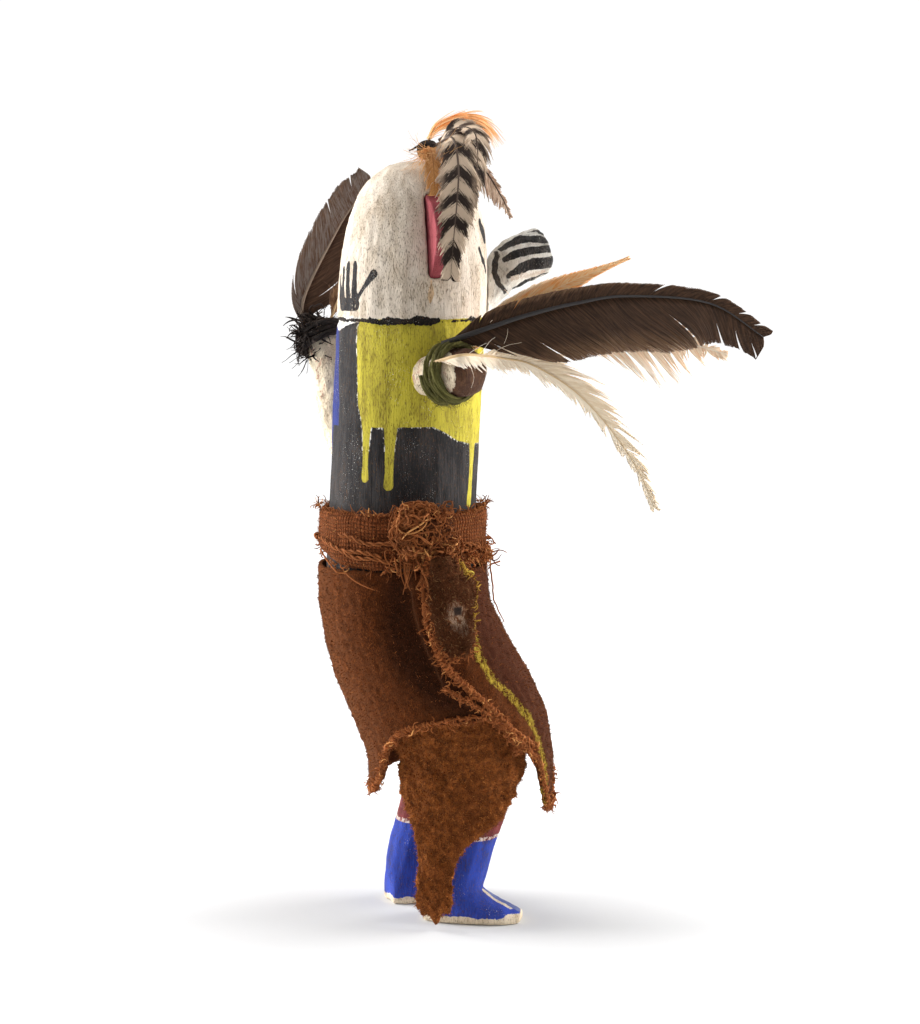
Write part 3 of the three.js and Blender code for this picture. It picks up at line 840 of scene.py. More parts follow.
BROWN_VANE = FeatherFinish("brown_feather", (92, 66, 48), (150, 116, 86), (60, 44, 36), (190, 160, 120))
ORANGE_VANE = FeatherFinish(
    "orange_feather", (255, 220, 168), (248, 158, 82), (255, 240, 212), (250, 206, 156), sheen=0.8
)
TAN_VANE = FeatherFinish(
    "tan_feather", (244, 224, 198), (232, 196, 160), (250, 240, 226), (244, 232, 212), sheen=0.3
)
CREAM_VANE = FeatherFinish(
    "cream_feather", (222, 200, 168), (238, 224, 200), (248, 240, 226), (206, 178, 136),
    far=(240, 226, 204), sheen=0.3,
)
BARRED_VANE = FeatherFinish(
    "barred_feather", (206, 184, 160), (44, 34, 30), (176, 152, 130), (90, 76, 66), Pattern.BARRED
)
FRONT_VANE = FeatherFinish(
    "front_feather", (206, 176, 152), (146, 114, 94), (118, 94, 80), (70, 58, 52), far=(226, 204, 184)
)
DOWN = FeatherFinish("tuft_down", (212, 158, 98), (170, 112, 60), (228, 186, 132), (160, 108, 60), sheen=0.3)

Wanted = PaintedWood | Wool | FibreFinish | FeatherFinish


@dataclass
class Workshop:
    """What every part of the doll is made with."""

    frame: dict
    space: DollSpace
    effects: Effects
    made: dict[str, Material] = field(default_factory=dict)

    def dress(self, piece: Piece, wanted: Wanted, slot: str, node: str = "") -> Piece:
        """Gives a piece its finish and its body, and hides the node that it replaces."""
        if wanted.name not in self.made:
            self.made[wanted.name] = wanted.build(self.effects)
        piece.data.materials.append(self.made[wanted.name])
        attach(piece, "root")
        if node:
            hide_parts(node)
        LOG.info("%s: %d points", piece.name, len(piece.data.vertices))
        return piece

    def shaped(self, node: str, voxel: float, rounds: int, wanted: Wanted, slot: str) -> Piece:
        """Gives a CAD node's form an even fine mesh, rounded as carved or worn.

        Args:
            node: The CAD node that it stands for.
            voxel: The size of the new mesh's faces, in millimetres.
            rounds: How many times the surface is smoothed.
            wanted: Its finish.
            slot: The record's material slot; not used.

        Returns:
            The new object, already riding and replacing the node.
        """
        piece = bpy.data.objects.new(f"{node}_shaped", self.frame["nodes"][node].data.copy())
        bpy.context.scene.collection.objects.link(piece)
        piece.data.materials.clear()
        edit_all(piece, bpy.ops.mesh.remove_doubles, threshold=0.002 * MM)
        apply_modifier(piece, "REMESH", mode="VOXEL", voxel_size=voxel * MM)
        apply_modifier(piece, "SMOOTH", factor=0.5, iterations=rounds)
        bpy.ops.object.shade_smooth()
        return self.dress(piece, wanted, slot, node)


# ------------------------------------------------------------------------------- painted places
def degrees_round(forward: Array, right: Array) -> Array:
    """Reads the angle from the front round by the doll's right, from 0 to 360."""
    return np.degrees(np.arctan2(right, forward)) % 360


def beside(across: Array, up: Array, first: Sequence[float], last: Sequence[float]) -> tuple[Array, Array]:
    """Gives the places' shares along a straight line, and how far from it they are."""
    dx, dy = last[0] - first[0], last[1] - first[1]
    share = np.clip(((across - first[0]) * dx + (up - first[1]) * dy) / (dx * dx + dy * dy), 0, 1)
    return share, np.hypot(across - first[0] - share * dx, up - first[1] - share * dy)


def inside_outline(across: Array, up: Array, outline: Outline, arc: float) -> Array:
    """Says how far inside a closed outline places are; outside is negative.

    Args:
        across: The places' distances round the doll, in millimetres.
        up: Their heights.
        outline: The outline's corners, each an angle and a height.
        arc: How many millimetres a degree is.

    Returns:
        The distances, in millimetres.
    """
    corners = [(degrees * arc, height) for degrees, height in outline]
    nearest = np.full(across.shape, np.inf)
    within = np.zeros(across.shape, dtype=bool)
    for first, last in zip(corners, [*corners[1:], corners[0]]):
        nearest = np.minimum(nearest, beside(across, up, first, last)[1])
        (x0, y0), (x1, y1) = first, last
        if y0 != y1:
            within ^= ((y0 > up) != (y1 > up)) & (across < (x1 - x0) * (up - y0) / (y1 - y0) + x0)
    return np.where(within, nearest, -nearest)


def brushed(across: Array, up: Array, strokes: Sequence[Stroke], arc: float = 1.0) -> Array:
    """Says how far inside any of the brush strokes places are, from the strokes' points and radii."""
    inside = np.full(across.shape, -np.inf)
    for stroke in strokes:
        stops = [(place * arc, height, radius) for place, height, radius in stroke]
        for first, last in zip(stops, stops[1:]):
            share, away = beside(across, up, first, last)
            inside = np.maximum(inside, lerp(first[2], last[2], share) - away)
    return inside


# ------------------------------------------------------------------------------- the carving
@dataclass
class Carving:
    """The carved figure: mask, body, legs and boots, with its paint.

    The paint's places are an angle round the body in degrees and a height, and a stroke's radius.
    """

    shop: Workshop
    arc: float = 0.4625
    mask_up: float = 216.0
    torso_up: float = 214.5
    crack_up: float = 215.3
    legs_up: float = 88.0
    boot_up: float = 29.0
    instep_up: float = 19.0
    ankles: tuple[Triple, Triple] = ((16.4, 14.5, 25), (6, -14.5, 4))
    sole_up: float = 1.3
    yellow: Outline = (
        (5, 216), (150, 216), (149.6, 205), (145.6, 186), (142, 181), (139, 178.6), (127, 178.3),
        (108, 178.6), (84, 178.6), (74, 176.5), (62, 173.4), (47, 171.8), (22, 171.2), (14.6, 171),
        (5, 171.4),
    )
    yellow_drips: tuple[Stroke, ...] = (
        ((137, 181, 2.2), (136.6, 174, 1.4), (136.3, 166, 1.1), (136.3, 160.4, 1.5)),
        ((117, 180, 2.6), (116.8, 172, 1.8), (116.6, 163, 1.5), (116.6, 158.2, 1.8)),
        ((42, 173, 2.6), (41.8, 166, 1.6), (41.8, 156, 1.3), (41.8, 150.4, 1.6)),
        ((17.4, 172, 2), (17.2, 166.4, 1.3)),
    )
    blue: Outline = (
        (177.8, 216), (355, 216), (355, 172.4), (331, 172), (329, 163), (326.5, 162), (324, 171.6),
        (297, 174.6), (276, 176.8), (250, 178), (246, 166), (243, 160.5), (240, 161.5), (238, 178),
        (212, 177.6), (208, 168.4), (205, 167.6), (202.6, 177.4), (199, 168), (197.6, 155), (194, 152.6),
        (190.6, 155), (189, 170), (186, 177.8), (171, 178), (173.4, 196),
    )
    plaster: Stroke = (
        (149, 216, 0.7), (158, 215.4, 1.1), (168, 214.6, 1.7), (178, 213.4, 2.4), (190, 214.4, 1.4),
    )
    hand: tuple[Stroke, ...] = (
        ((153.6, 220.9, 2.3), (170.8, 220.6, 2.3)),
        ((170.6, 222.6, 1.4), (173.1, 233, 1.15)),
        ((162.6, 222.6, 1.4), (166, 234.8, 1.15)),
        ((154.6, 222.6, 1.4), (156.7, 234.9, 1.15)),
        ((174.5, 222, 1.2), (181.5, 230.5, 0.9)),
        ((150.6, 223.4, 0.9), (145, 226.6, 0.8), (140.9, 228.8, 1.2), (136.4, 231.6, 1.6)),
    )
    eyes: tuple[Stroke, ...] = (
        ((24.5, 244.6, 2.9), (32, 248, 2.7)),
        ((42.7, 240.4, 0.8), (38.4, 237.6, 1.0), (33.8, 235.4, 1.2), (28.6, 233.4, 1.2), (24, 232, 0.8)),
    )

    def build(self) -> None:
        """Shapes the wood and lays its paint."""
        piece = self.shop.shaped("figure", 0.9, 3, MASK_PAINT, "painted_wood")
        points = points_of(piece)
        forward, right, up = self.shop.space.read(points)
        facets = clouds(points, (7, 7, 24), 3.1) * 0.42 + clouds(points, (2.4, 2.4, 9), 7.3) * 0.16
        grain = clouds(points, (1.1, 1.1, 6), 1.7) * 0.12
        rough = clouds(points, (1.5, 1.5, 2.6), 5.2) * 0.16 * np.clip((up - self.mask_up) / 6, 0, 1)
        displace(piece, (facets + grain + rough) * np.clip((up - 0.6) / 3, 0, 1))
        self._lay_paint(piece, forward, right, up)

    def _lay_paint(self, piece: Piece, forward: Array, right: Array, up: Array) -> None:
        """Keeps how far inside each painted area every point is."""
        around = degrees_round(forward - LEAN * (up - LEAN_ZERO_UP), right)
        across = around * self.arc
        facing = np.minimum(around, 360 - around) * self.arc
        wobble = clouds(points_of(piece), 5, 2.2)
        steep = points_of(piece, "normal")[:, 2]
        drips = brushed(across, up, self.yellow_drips, self.arc)
        yellow = np.maximum(inside_outline(across, up, self.yellow, self.arc), drips)
        deep = 1.25 + 0.9 * wobble - np.where((around > 84) & (around < 139), 0, 0.75)
        ahead, aside = self._along_foot(forward, right)
        ridge = aside - 1.2 - 0.1 * (ahead - 8)
        low = up < self.instep_up
        top = (up > 3) & low & (steep > 0.3) & (ahead > 4)
        keep_values(
            piece,
            torso=self.torso_up - up + 0.8 * wobble,
            under_yellow=np.where(up > 170, yellow + 0.45, FAR_OUTSIDE),
            yellow=yellow,
            blue=inside_outline(across, up, self.blue, self.arc),
            plaster=brushed(across, up, (self.plaster,), self.arc) + 0.8 * wobble,
            crack=deep - np.abs(up - self.crack_up - 0.5 * wobble),
            hand=brushed(across, up, self.hand, self.arc),
            eyes=brushed(facing, up, self.eyes, self.arc),
            stain=1.6 - np.abs(around - 91) * self.arc - np.abs(up - 225) * 0.25 + 1.2 * wobble,
            legs=self.legs_up - up,
            gap=np.where(up < 60, 0.75 - np.abs(up - self.boot_up - 0.6), OUTSIDE),
            boots=self.boot_up - up,
            boot_top=np.where(low & (steep > 0.5), np.minimum(-0.5 - ridge, ahead - 9), OUTSIDE),
            ridge=np.where(top, 0.85 - np.abs(ridge), OUTSIDE),
            soles=self.sole_up - up + 1.1 * wobble + 0.9 * np.clip(ahead - 17, 0, 1),
        )

    def _along_foot(self, forward: Array, right: Array) -> tuple[Array, Array]:
        """Reads places in front of the ankle of the foot that they are on, and across it."""
        on_right = right > 0
        ankle, side, splay = (np.where(on_right, *pair) for pair in zip(*self.ankles))
        splay = np.radians(np.where(on_right, splay, -splay))
        ahead = (forward - ankle) * np.cos(splay) + (right - side) * np.sin(splay)
        across = (right - side) * np.cos(splay) - (forward - ankle) * np.sin(splay)
        return ahead, np.where(on_right, across, -across)


@dataclass
class Snout:
    """The tube that stands out of the mask, striped along its length.

    The paint's places are forward and up, as seen from either side, with a brush radius.
    """

    shop: Workshop
    stripes: tuple[Stroke, ...] = (
        ((39.6, 245.6, 0.7), (44.4, 247.1, 1.15), (48.2, 247.2, 1.1), (50.2, 245.6, 1.0)),
        ((34.7, 239.7, 0.8), (37.7, 242, 1.3), (42.5, 243.3, 1.4), (47.3, 243.5, 1.3), (51.5, 242.7, 1.1)),
        ((35.1, 236.1, 0.9), (38.7, 237.8, 1.4), (43.5, 239.2, 1.4), (52.6, 240, 1.3)),
        ((36.6, 230.4, 1.1), (40.7, 232.9, 1.9), (45.5, 234.6, 2.1), (53, 235.3, 2.1)),
        ((40, 225.6, 0.9), (46, 228.6, 1.4), (52.6, 230, 1.3)),
    )
    collar: Stroke = (
        (33.4, 238.6, 0.5), (32.2, 234.9, 0.9), (31.6, 231.5, 1.0), (33.2, 227.5, 0.9), (36.2, 224.6, 0.8),
    )
    chips: Stroke = ((38.1, 229.6, 0.9), (44.8, 230.6, 1.3), (50.1, 231.6, 1.0))

    def build(self) -> None:
        """Shapes and paints the tube."""
        piece = self.shop.shaped("snout", 0.45, 2, SNOUT_PAINT, "striped_wood")
        points = points_of(piece)
        forward, right, up = self.shop.space.read(points)
        displace(piece, clouds(points, 4, 8.1) * 0.55 + clouds(points, (1.6, 1.6, 2.4), 4.4) * 0.2)
        wobble = clouds(points, 2.4, 6.3)
        stripes = brushed(forward, up, self.stripes)
        keep_values(
            piece,
            stripes=np.minimum(stripes, np.abs(right) - 2.2) + 0.3 * wobble,
            collar=brushed(forward, up, (self.collar,)) + 0.3 * wobble,
            chipped=brushed(forward, up, (self.chips,)) + 0.5 * wobble,
        )


@dataclass
class EarPair:
    """The two flat upright ears."""

    shop: Workshop

    def build(self) -> None:
        """Shapes and paints both ears."""
        for node in ("ear_right", "ear_left"):
            piece = self.shop.shaped(node, 0.5, 3, EAR_PAINT, "red_wood")
            points = points_of(piece)
            displace(piece, clouds(points, (3, 3, 9), 2.9) * 0.25)
            _, right, up = self.shop.space.read(points)
            keep_values(piece, worn=np.abs(right) - 33.4 + 0.04 * np.abs(up - 243.6))


def kept_in(path: list[Vector]) -> list[Vector]:
    """Keeps the points of a loose strand within the doll's widest sizes."""
    wide, deep = WIDEST[0] * MM, WIDEST[1] * MM
    return [
        Vector((min(max(place.x, -wide), wide), min(max(place.y, -deep), deep), place.z))
        for place in path
    ]


def curled(
    start: Vector, aim: Vector, length: float, rng: random.Random, steps: int, curl: float, fall: float = 0.0
) -> list[Vector]:
    """Walks a thread's path that curls as it goes.

    Args:
        start: Where it starts.
        aim: The way it sets out.
        length: How long it is, in metres.
        rng: What its turns are drawn from.
        steps: How many steps it is walked in.
        curl: How sharply it turns at each step, in radians.
        fall: How strongly it bends downwards at each step.

    Returns:
        The path's points.
    """
    turn_axis = Vector([rng.uniform(-1, 1) for _ in range(3)]).normalized()
    path = [start.copy()]
    heading = aim.normalized()
    for _ in range(steps):
        heading = Matrix.Rotation(curl * rng.uniform(0.4, 1.3), 3, turn_axis) @ heading
        heading = (heading - UP * fall).normalized()
        turn_axis = (turn_axis + Vector([rng.gauss(0, 0.3) for _ in range(3)])).normalized()
        path.append(path[-1] + heading * (length / steps))
    return kept_in(path)


@dataclass(frozen=True)
class Wisp:
    """A kind of loose thread.

    Attributes:
        length: Its shortest and longest, in millimetres.
        radius: Its thinnest and thickest.
        steps: How many steps it is walked in.
        curl: How sharply it turns at each.
        fall: How strongly it bends downwards at each.
        sides: How many sides it has.
    """

    length: Pair
    radius: Pair
    steps: int
    curl: float
    fall: float = 0.0
    sides: int = 4

    def add(self, draft: Draft, start: Vector, aim: Vector, rng: random.Random) -> None:
        """Adds one such thread."""
        path = curled(start, aim, rng.uniform(*self.length) * MM, rng, self.steps, self.curl, self.fall)
        draft.thread(path, rng.uniform(*self.radius), rng.random(), self.sides)


@dataclass(frozen=True)
class Binding:
    """Three twisted plies of yarn round an arm, with loose fibres standing off.

    Attributes:
        node: The CAD node that it stands for.
        arm: The arm's middle line, as forward, right and up.
        span: The shares of the arm where it starts and ends.
        turns: How many times it goes round.
        radius: How far from the middle line it lies.
        thick: How thick a ply is.
        sink: How much nearer it lies in front, where the arm's end is cut.
        finish: Its colours, whose name is also the record's slot.
    """

    node: str
    arm: Stroke
    span: Pair
    turns: float
    radius: float
    thick: float
    sink: float
    finish: FibreFinish

    def build(self, shop: Workshop) -> None:
        """Winds the yarn."""
        rng = random.Random(self.node)
        route = shop.space.route(self.arm)
        ahead = shop.space.turned(1, 0, -0.2)
        draft = Draft()
        count = int(self.turns * 42)
        cord = []
        for index in range(count + 1):
            share = index / count
            spot = lerp(*self.span, share)
            travel = route.heading(spot)
            side = travel.cross(UP).normalized()
            turn = share * self.turns * 2 * math.pi
            outward = side * math.cos(turn) + travel.cross(side) * math.sin(turn)
            swell = self.radius + 0.35 * math.sin(turn * 0.37 + 1) + 0.15 * rng.random()
            swell -= self.sink * max(0.0, outward.dot(ahead))
            slip = travel * (0.5 * math.sin(turn * 1.7) * MM)
            cord.append((route.at(spot) + outward * (swell * MM) + slip, outward, travel))
        for ply in range(3):
            path = []
            for index, (place, outward, travel) in enumerate(cord):
                twist = index * 0.42 + ply * 2 * math.pi / 3
                offset = outward * math.cos(twist) + travel * math.sin(twist)
                path.append(place + offset * (self.thick * 0.48 * MM))
            sizes = [self.thick * (0.52 + 0.06 * math.sin(index * 0.9 + ply)) for index in range(len(path))]
            draft.strand(path, sizes, sizes, SLANT, 7, tone=0.2 + 0.3 * ply)
        for _ in range(420):
            place, outward, travel = cord[rng.randrange(len(cord))]
            side = outward.cross(travel)
            aim = (outward * 1.1 + travel * rng.uniform(-1, 1) + side * rng.uniform(-1.2, 1.2)).normalized()
            start = place + outward * (self.thick * 0.7 * MM)
            path = curled(start, aim, rng.uniform(1.2, 3.4) * MM, rng, 6, 0.5)
            draft.thread(path, 0.07, rng.random() * 0.8, 3)
        shop.dress(draft.build(f"{self.node}_plies"), self.finish, self.finish.name, self.node)


@dataclass
class Arms:
    """The two stub arms and the yarn that binds feathers to them."""

    shop: Workshop
    right: Stroke = (
        (-1, 16, 195.6), (4.5, 26.5, 196.8), (8.8, 34.5, 197.8), (12.2, 40.8, 198.4), (13.8, 43.8, 198.7),
    )
    left: Stroke = (
        (-10, -18, 153), (-14.2, -26.5, 168), (-16.6, -34, 184), (-17.6, -40.5, 198), (-19.2, -44.5, 208),
        (-19.9, -46, 211.6),
    )

    def build(self) -> None:
        """Shapes both arms and winds their yarn."""
        for node, end in (("arm_right", 36.0), ("arm_left", 44.0)):
            piece = self.shop.shaped(node, 0.55, 3, ARM_WOOD, "bare_wood")
            points = points_of(piece)
            displace(piece, clouds(points, 4, 6.1) * 0.5 + clouds(points, (1.4, 1.4, 3), 3.3) * 0.14)
            forward, right, _ = self.shop.space.read(points)
            dark_end, cuff = np.abs(right) - end, np.full(right.shape, FAR_OUTSIDE)
            if node == "arm_right":
                dark_end, cuff = np.minimum(dark_end, forward - 6), 27.0 - np.abs(right)
            keep_values(piece, dark_end=dark_end, stain=clouds(points, 5, 9.7) * 4 - 0.9, cuff=cuff)
        for binding in (
            Binding("yarn_right", self.right, (0.33, 0.62), 4.8, 9.9, 1.1, 1.9, GREEN_YARN),
            Binding("yarn_left", self.left, (0.69, 0.91), 3.4, 9.2, 1.3, 0.0, BLACK_YARN),
        ):
            binding.build(self.shop)


# ------------------------------------------------------------------------------- the feathers
@dataclass(frozen=True)
class Vane:
    """How far a vane reaches from its shaft, by its share of the shaft.

    Attributes:
        full: Its widest reach, in millimetres.
        rise: The share where it has grown to that.
        fall: The share where it starts to narrow.
        tip: What is left of it at the tip, as a share.
        start: The share where it starts.
    """

    full: float
    rise: float
    fall: float
    tip: float
    start: float = 0.0

    def reach(self, share: float) -> float:
        """Gives the reach at a share, in millimetres."""
        narrowed = lerp(1, self.tip, smoothstep(share, self.fall, 1))
        return self.full * smoothstep(share, self.start, self.rise) * narrowed


@dataclass(frozen=True)
class Feather:
    """One feather: its shaft and the barbs down both sides.

    Attributes:
        node: The CAD node that it stands for.
        shaft: The shaft's points, as forward, right and up.
        facing: The way its face looks.
        upper: The vane on its upper side.
        lower: The vane on its other side.
        quill: The shaft's radius at its root.
        finish: Its colours.
        slot: The record's material slot.
        spacing: How far apart its barbs stand.
        sweep: How far a barb runs forwards for each millimetre outwards.
        loose: How ragged the barbs' tips are, as a share of their reach.
        splits: The shares where the vane has opened.
        fluff: How many downy strands curl from its root.
        cup: How far the barbs bend towards the back.
        seed: What its small differences are drawn from.
        gap: How far the barbs lean away from a split, in millimetres.
    """

    node: str
    shaft: Stroke
    facing: Triple
    upper: Vane
    lower: Vane
    quill: float
    finish: FeatherFinish
    slot: str
    spacing: float
    sweep: float
    loose: float
    splits: tuple[float, ...]
    fluff: int
    cup: float
    seed: int
    gap: float = 0.8

    def build(self, shop: Workshop) -> None:
        """Makes the feather as one piece."""
        rng = random.Random(self.seed)
        route = shop.space.route(self.shaft)
        facing = shop.space.turned(*self.facing)
        draft = Draft()
        stops = [step / 48 for step in range(49)]
        sizes = [self.quill * (1 - 0.82 * stop**0.8) for stop in stops]
        shaft = {"along": 0.0, "reach": 0.0, "strand": 0.4, "side": 0.0, "quill": 1.0}
        draft.strand([route.at(stop) for stop in stops], sizes, sizes, facing, 8, **shaft)
        for side, vane in ((1, self.upper), (-1, self.lower)):
            self._barbs(draft, route, facing, vane, side, rng)
        thin = [0.09 * (1 - 0.6 * step / 9) for step in range(10)]
        for _ in range(self.fluff):
            share = rng.uniform(0.12, 0.45)
            travel = route.heading(share)
            aim = facing.cross(travel) * rng.choice((-1, 1)) + travel * 0.9 + facing * rng.uniform(-0.3, 0.3)
            strand = curled(route.at(share), aim, rng.uniform(5, 14) * MM, rng, 9, 0.2)
            draft.barb(strand, thin, thin, SLANT, share, 0.8, rng.random())
        shop.dress(draft.build(f"{self.node}_barbs"), self.finish, self.slot, self.node)

    def _barbs(
        self, draft: Draft, route: Route, facing: Vector, vane: Vane, side: int, rng: random.Random
    ) -> None:
        """Adds the barbs down one side, each a thin blade that sweeps towards the tip."""
        length = route.length() / MM
        count = int(length / self.spacing)
        for index in range(count):
            share = (index + 0.5) / count
            reach = vane.reach(share)
            for _ in range(8):
                reach = (reach + vane.reach(min(share + self.sweep * reach / length, 1.0))) / 2
            if reach < 0.5:
                continue
            drift = noise.noise(Vector((share * length * 0.16, self.seed * 3.7, side)))
            tuft = noise.noise(Vector((share * length * 0.55, self.seed * 1.3, side * 2)))
            reach *= 1 + self.loose * (1.4 * tuft + rng.uniform(-0.8, 0.5))
            lift = rng.uniform(-0.12, 0.12) + 0.5 * tuft
            shift = (0.4 + 4 * self.loose) * (0.9 * drift + 0.7 * tuft)
            shift += sum(self._opening(share - split) for split in self.splits)
            wide = self.spacing * (0.62 + 0.12 * rng.random())
            path, widths, thicks, reaches = [], [], [], []
            for step in range(7):
                u = step / 6
                out = reach * (u - 0.06 * u * u)
                ahead = self.sweep * reach * (0.8 * u + 0.2 * u * u) + shift * u * u
                spot = share + min(ahead, (1.015 - share) * length) / length
                travel = route.heading(min(spot, 1.0))
                across = facing.cross(travel).normalized() * side
                back = travel.cross(across) * side
                bend = self.cup * (out / 12) ** 2 + lift * u * u * (0.6 + 2 * self.loose)
                path.append(route.at(spot) + across * (out * MM) + back * (bend * MM))
                widths.append(max(wide * (1 - 0.62 * u**4), 0.07))
                thicks.append(0.14 * (1 - 0.5 * u))
                reaches.append(u * reach / vane.full)
            draft.barb(path, widths, thicks, facing, share, reaches, rng.random(), float(side < 0))

    def _opening(self, away: float) -> float:
        """Bends barbs apart on either side of a split, in millimetres."""
        return math.copysign(self.gap * math.exp(-((away / 0.02) ** 2)), away)


FEATHERS: tuple[Feather, ...] = (
    Feather(
        "flight_feather_right",
        ((5, 32, 207.6), (16, 38.5, 212.2), (32.5, 43, 217.8), (50, 44.5, 221.8), (68, 45, 224),
         (98, 45.5, 221.3), (118.5, 46, 209.3)),
        (-0.2, 1, 0.05), Vane(6.2, 0.26, 0.3, 0.62), Vane(20.5, 0.44, 0.74, 0.42), 1.15,
        DARK_VANE, "dark_feather", 0.33, 1.0, 0.02, (0.16, 0.27, 0.71, 0.83, 0.9, 0.95), 0, 0.5, 11, 0.7,
    ),
    Feather(
        "tan_feather_right",
        ((9.8, 28, 206.1), (22, 36, 208.5), (48, 41, 211.5), (78, 41.2, 210.5), (107, 41.2, 203)),
        (-0.2, 1, 0.05), Vane(14.5, 0.72, 0.74, 0.1), Vane(15, 0.76, 0.78, 0.12, 0.36), 0.8,
        TAN_VANE, "tan_feather", 0.42, 0.9, 0.3, (0.62, 0.7, 0.78, 0.86, 0.93), 10, 0.3, 12, 1.6,
    ),
    Feather(
        "orange_feather_right",
        ((13.8, 26.4, 201.6), (25, 34, 215.6), (46, 37.2, 227.2), (70.5, 37.5, 236.8)),
        (-0.2, 1, 0.05), Vane(5, 0.4, 0.5, 0.12), Vane(5.6, 0.35, 0.5, 0.12), 0.7,
        ORANGE_VANE, "orange_feather", 0.34, 2.6, 0.05, (0.55,), 5, 0.2, 13, 0.4,
    ),
    Feather(
        "cream_feather_right",
        ((0.4, 39, 202), (7.3, 46.8, 204.6), (16, 43.4, 204.2), (25, 39.6, 202.8), (35, 39.2, 200.6),
         (50, 39.8, 191.6), (62.6, 40, 179), (74, 40, 163), (80.4, 40, 149.5)),
        (-0.2, 1, 0.05), Vane(7.6, 0.5, 0.58, 0.22, 0.2), Vane(4.2, 0.12, 0.4, 0.3), 0.6,
        CREAM_VANE, "cream_feather", 0.46, 1.7, 0.45, (0.4, 0.47, 0.55, 0.62, 0.68, 0.75, 0.82, 0.9),
        34, 0.2, 14, 1.4,
    ),
    Feather(
        "flight_feather_left",
        ((-26.5, -47.5, 209), (-26, -47.5, 222), (-13.6, -47.5, 246), (-7.6, -46.5, 255.5), (-1, -45, 265)),
        (0.1, -1, 0), Vane(12.6, 0.3, 0.9, 0.8), Vane(9.4, 0.44, 0.8, 0.7), 0.8,
        GREY_VANE, "dark_feather", 0.33, 1.0, 0.03, (0.2, 0.5, 0.8), 8, 0.3, 15, 0.6,
    ),
    Feather(
        "small_feather_left",
        ((-17.5, -41.5, 213.4), (-14, -40.5, 222), (-7, -39.5, 227.6), (-0.5, -38.5, 229)),
        (0.1, -1, 0), Vane(5.4, 0.4, 0.7, 0.4), Vane(5, 0.4, 0.7, 0.4), 0.6,
        BROWN_VANE, "brown_feather", 0.5, 0.9, 0.14, (0.5,), 14, 0.2, 16,
    ),
    Feather(
        "crest_tuft",
        ((7.4, 5.4, 275.6), (6.6, 13, 273.6), (5.4, 20, 267.8), (4.4, 25, 258.8)),
        (-0.1, 0.6, 1), Vane(3.8, 0.2, 0.6, 0.5), Vane(3.8, 0.2, 0.6, 0.5), 0.5,
        DOWN, "tuft_down", 0.15, 1.7, 0.45, (), 150, 0.8, 17,
    ),
    Feather(
        "crest_hackle_wide",
        ((10.6, 5.6, 276.6), (13.8, 14.5, 278.4), (13, 24.5, 268.4), (10.6, 31.4, 257),
         (8.4, 35.4, 246), (7, 35.8, 230.5)),
        (-0.25, 1, 0.4), Vane(7.2, 0.25, 0.6, 0.45), Vane(7.2, 0.25, 0.6, 0.45), 0.6,
        BARRED_VANE, "barred_feather", 0.34, 1.4, 0.2, (0.4, 0.8), 0, 0.3, 18, 0.5,
    ),
    Feather(
        "crest_hackle_narrow",
        ((12.2, 2.2, 278.2), (18, 8.5, 282.4), (21.6, 16, 279.6), (20, 23, 267), (15.4, 28.4, 251.5)),
        (0.25, 1, 0.5), Vane(5.2, 0.25, 0.6, 0.4), Vane(5.2, 0.25, 0.6, 0.4), 0.6,
        BARRED_VANE, "barred_feather", 0.34, 1.4, 0.22, (0.5, 0.75), 0, 0.3, 19, 0.5,
    ),
    Feather(
        "crest_front_feather",
        ((12.6, -4, 275.6), (21.4, -4.6, 275.4), (30, -4.6, 269.4), (37.4, -4.6, 258.6), (41, -4.6, 251.2)),
        (0, 1, 0), Vane(1.5, 0.3, 0.6, 0.4), Vane(6.4, 0.5, 0.56, 0.12), 0.7,
        FRONT_VANE, "brown_feather", 0.36, 1.5, 0.26, (0.5, 0.72, 0.85), 12, 0.3, 21,
    ),
)


@dataclass
class Plume:
    """The spray of long fine hairs that arcs forwards over the crest."""

    shop: Workshop
    hairs: int = 240
    spread: float = 2.6
    shaft: Stroke = ((9, -1.2, 278.6), (14, -1.8, 283.4), (24, -2.6, 286), (31.4, -3, 283), (36, -3.2, 276.8))

    def build(self) -> None:
        """Makes the hairs as one piece, with one stray in 24."""
        rng = random.Random(81)
        route = self.shop.space.route(self.shaft)
        aside = self.shop.space.turned(0, 1, 0)
        draft = Draft()
        stops = [step / 12 for step in range(13)]
        for index in range(self.hairs):
            stray = index % 24 == 0
            first = rng.random() ** 2 * 0.4
            last = min(first + rng.uniform(0.3, 0.75), 1.02)
            rise, side = rng.gauss(0, 0.45), rng.gauss(0, 0.6)
            rise = rise * 3.2 if stray else rise + 0.35 * math.sin(index * 0.7)
            path = []
            for stop in stops:
                spot = lerp(first, last, stop)
                away = aside.cross(route.heading(spot)).normalized()
                fan = self.spread * (0.15 + stop**1.3)
                path.append(route.at(spot) + (away * (rise * fan) + aside * (side * fan)) * MM)
            wide = [(0.1 if stray else 0.24) * (1 - 0.7 * stop**2) for stop in stops]
            draft.barb(path, wide, [0.09] * len(stops), aside, 0.5, 0.3, rng.random())
        self.shop.dress(draft.build("crest_plume_hairs"), ORANGE_VANE, "orange_feather", "crest_plume")


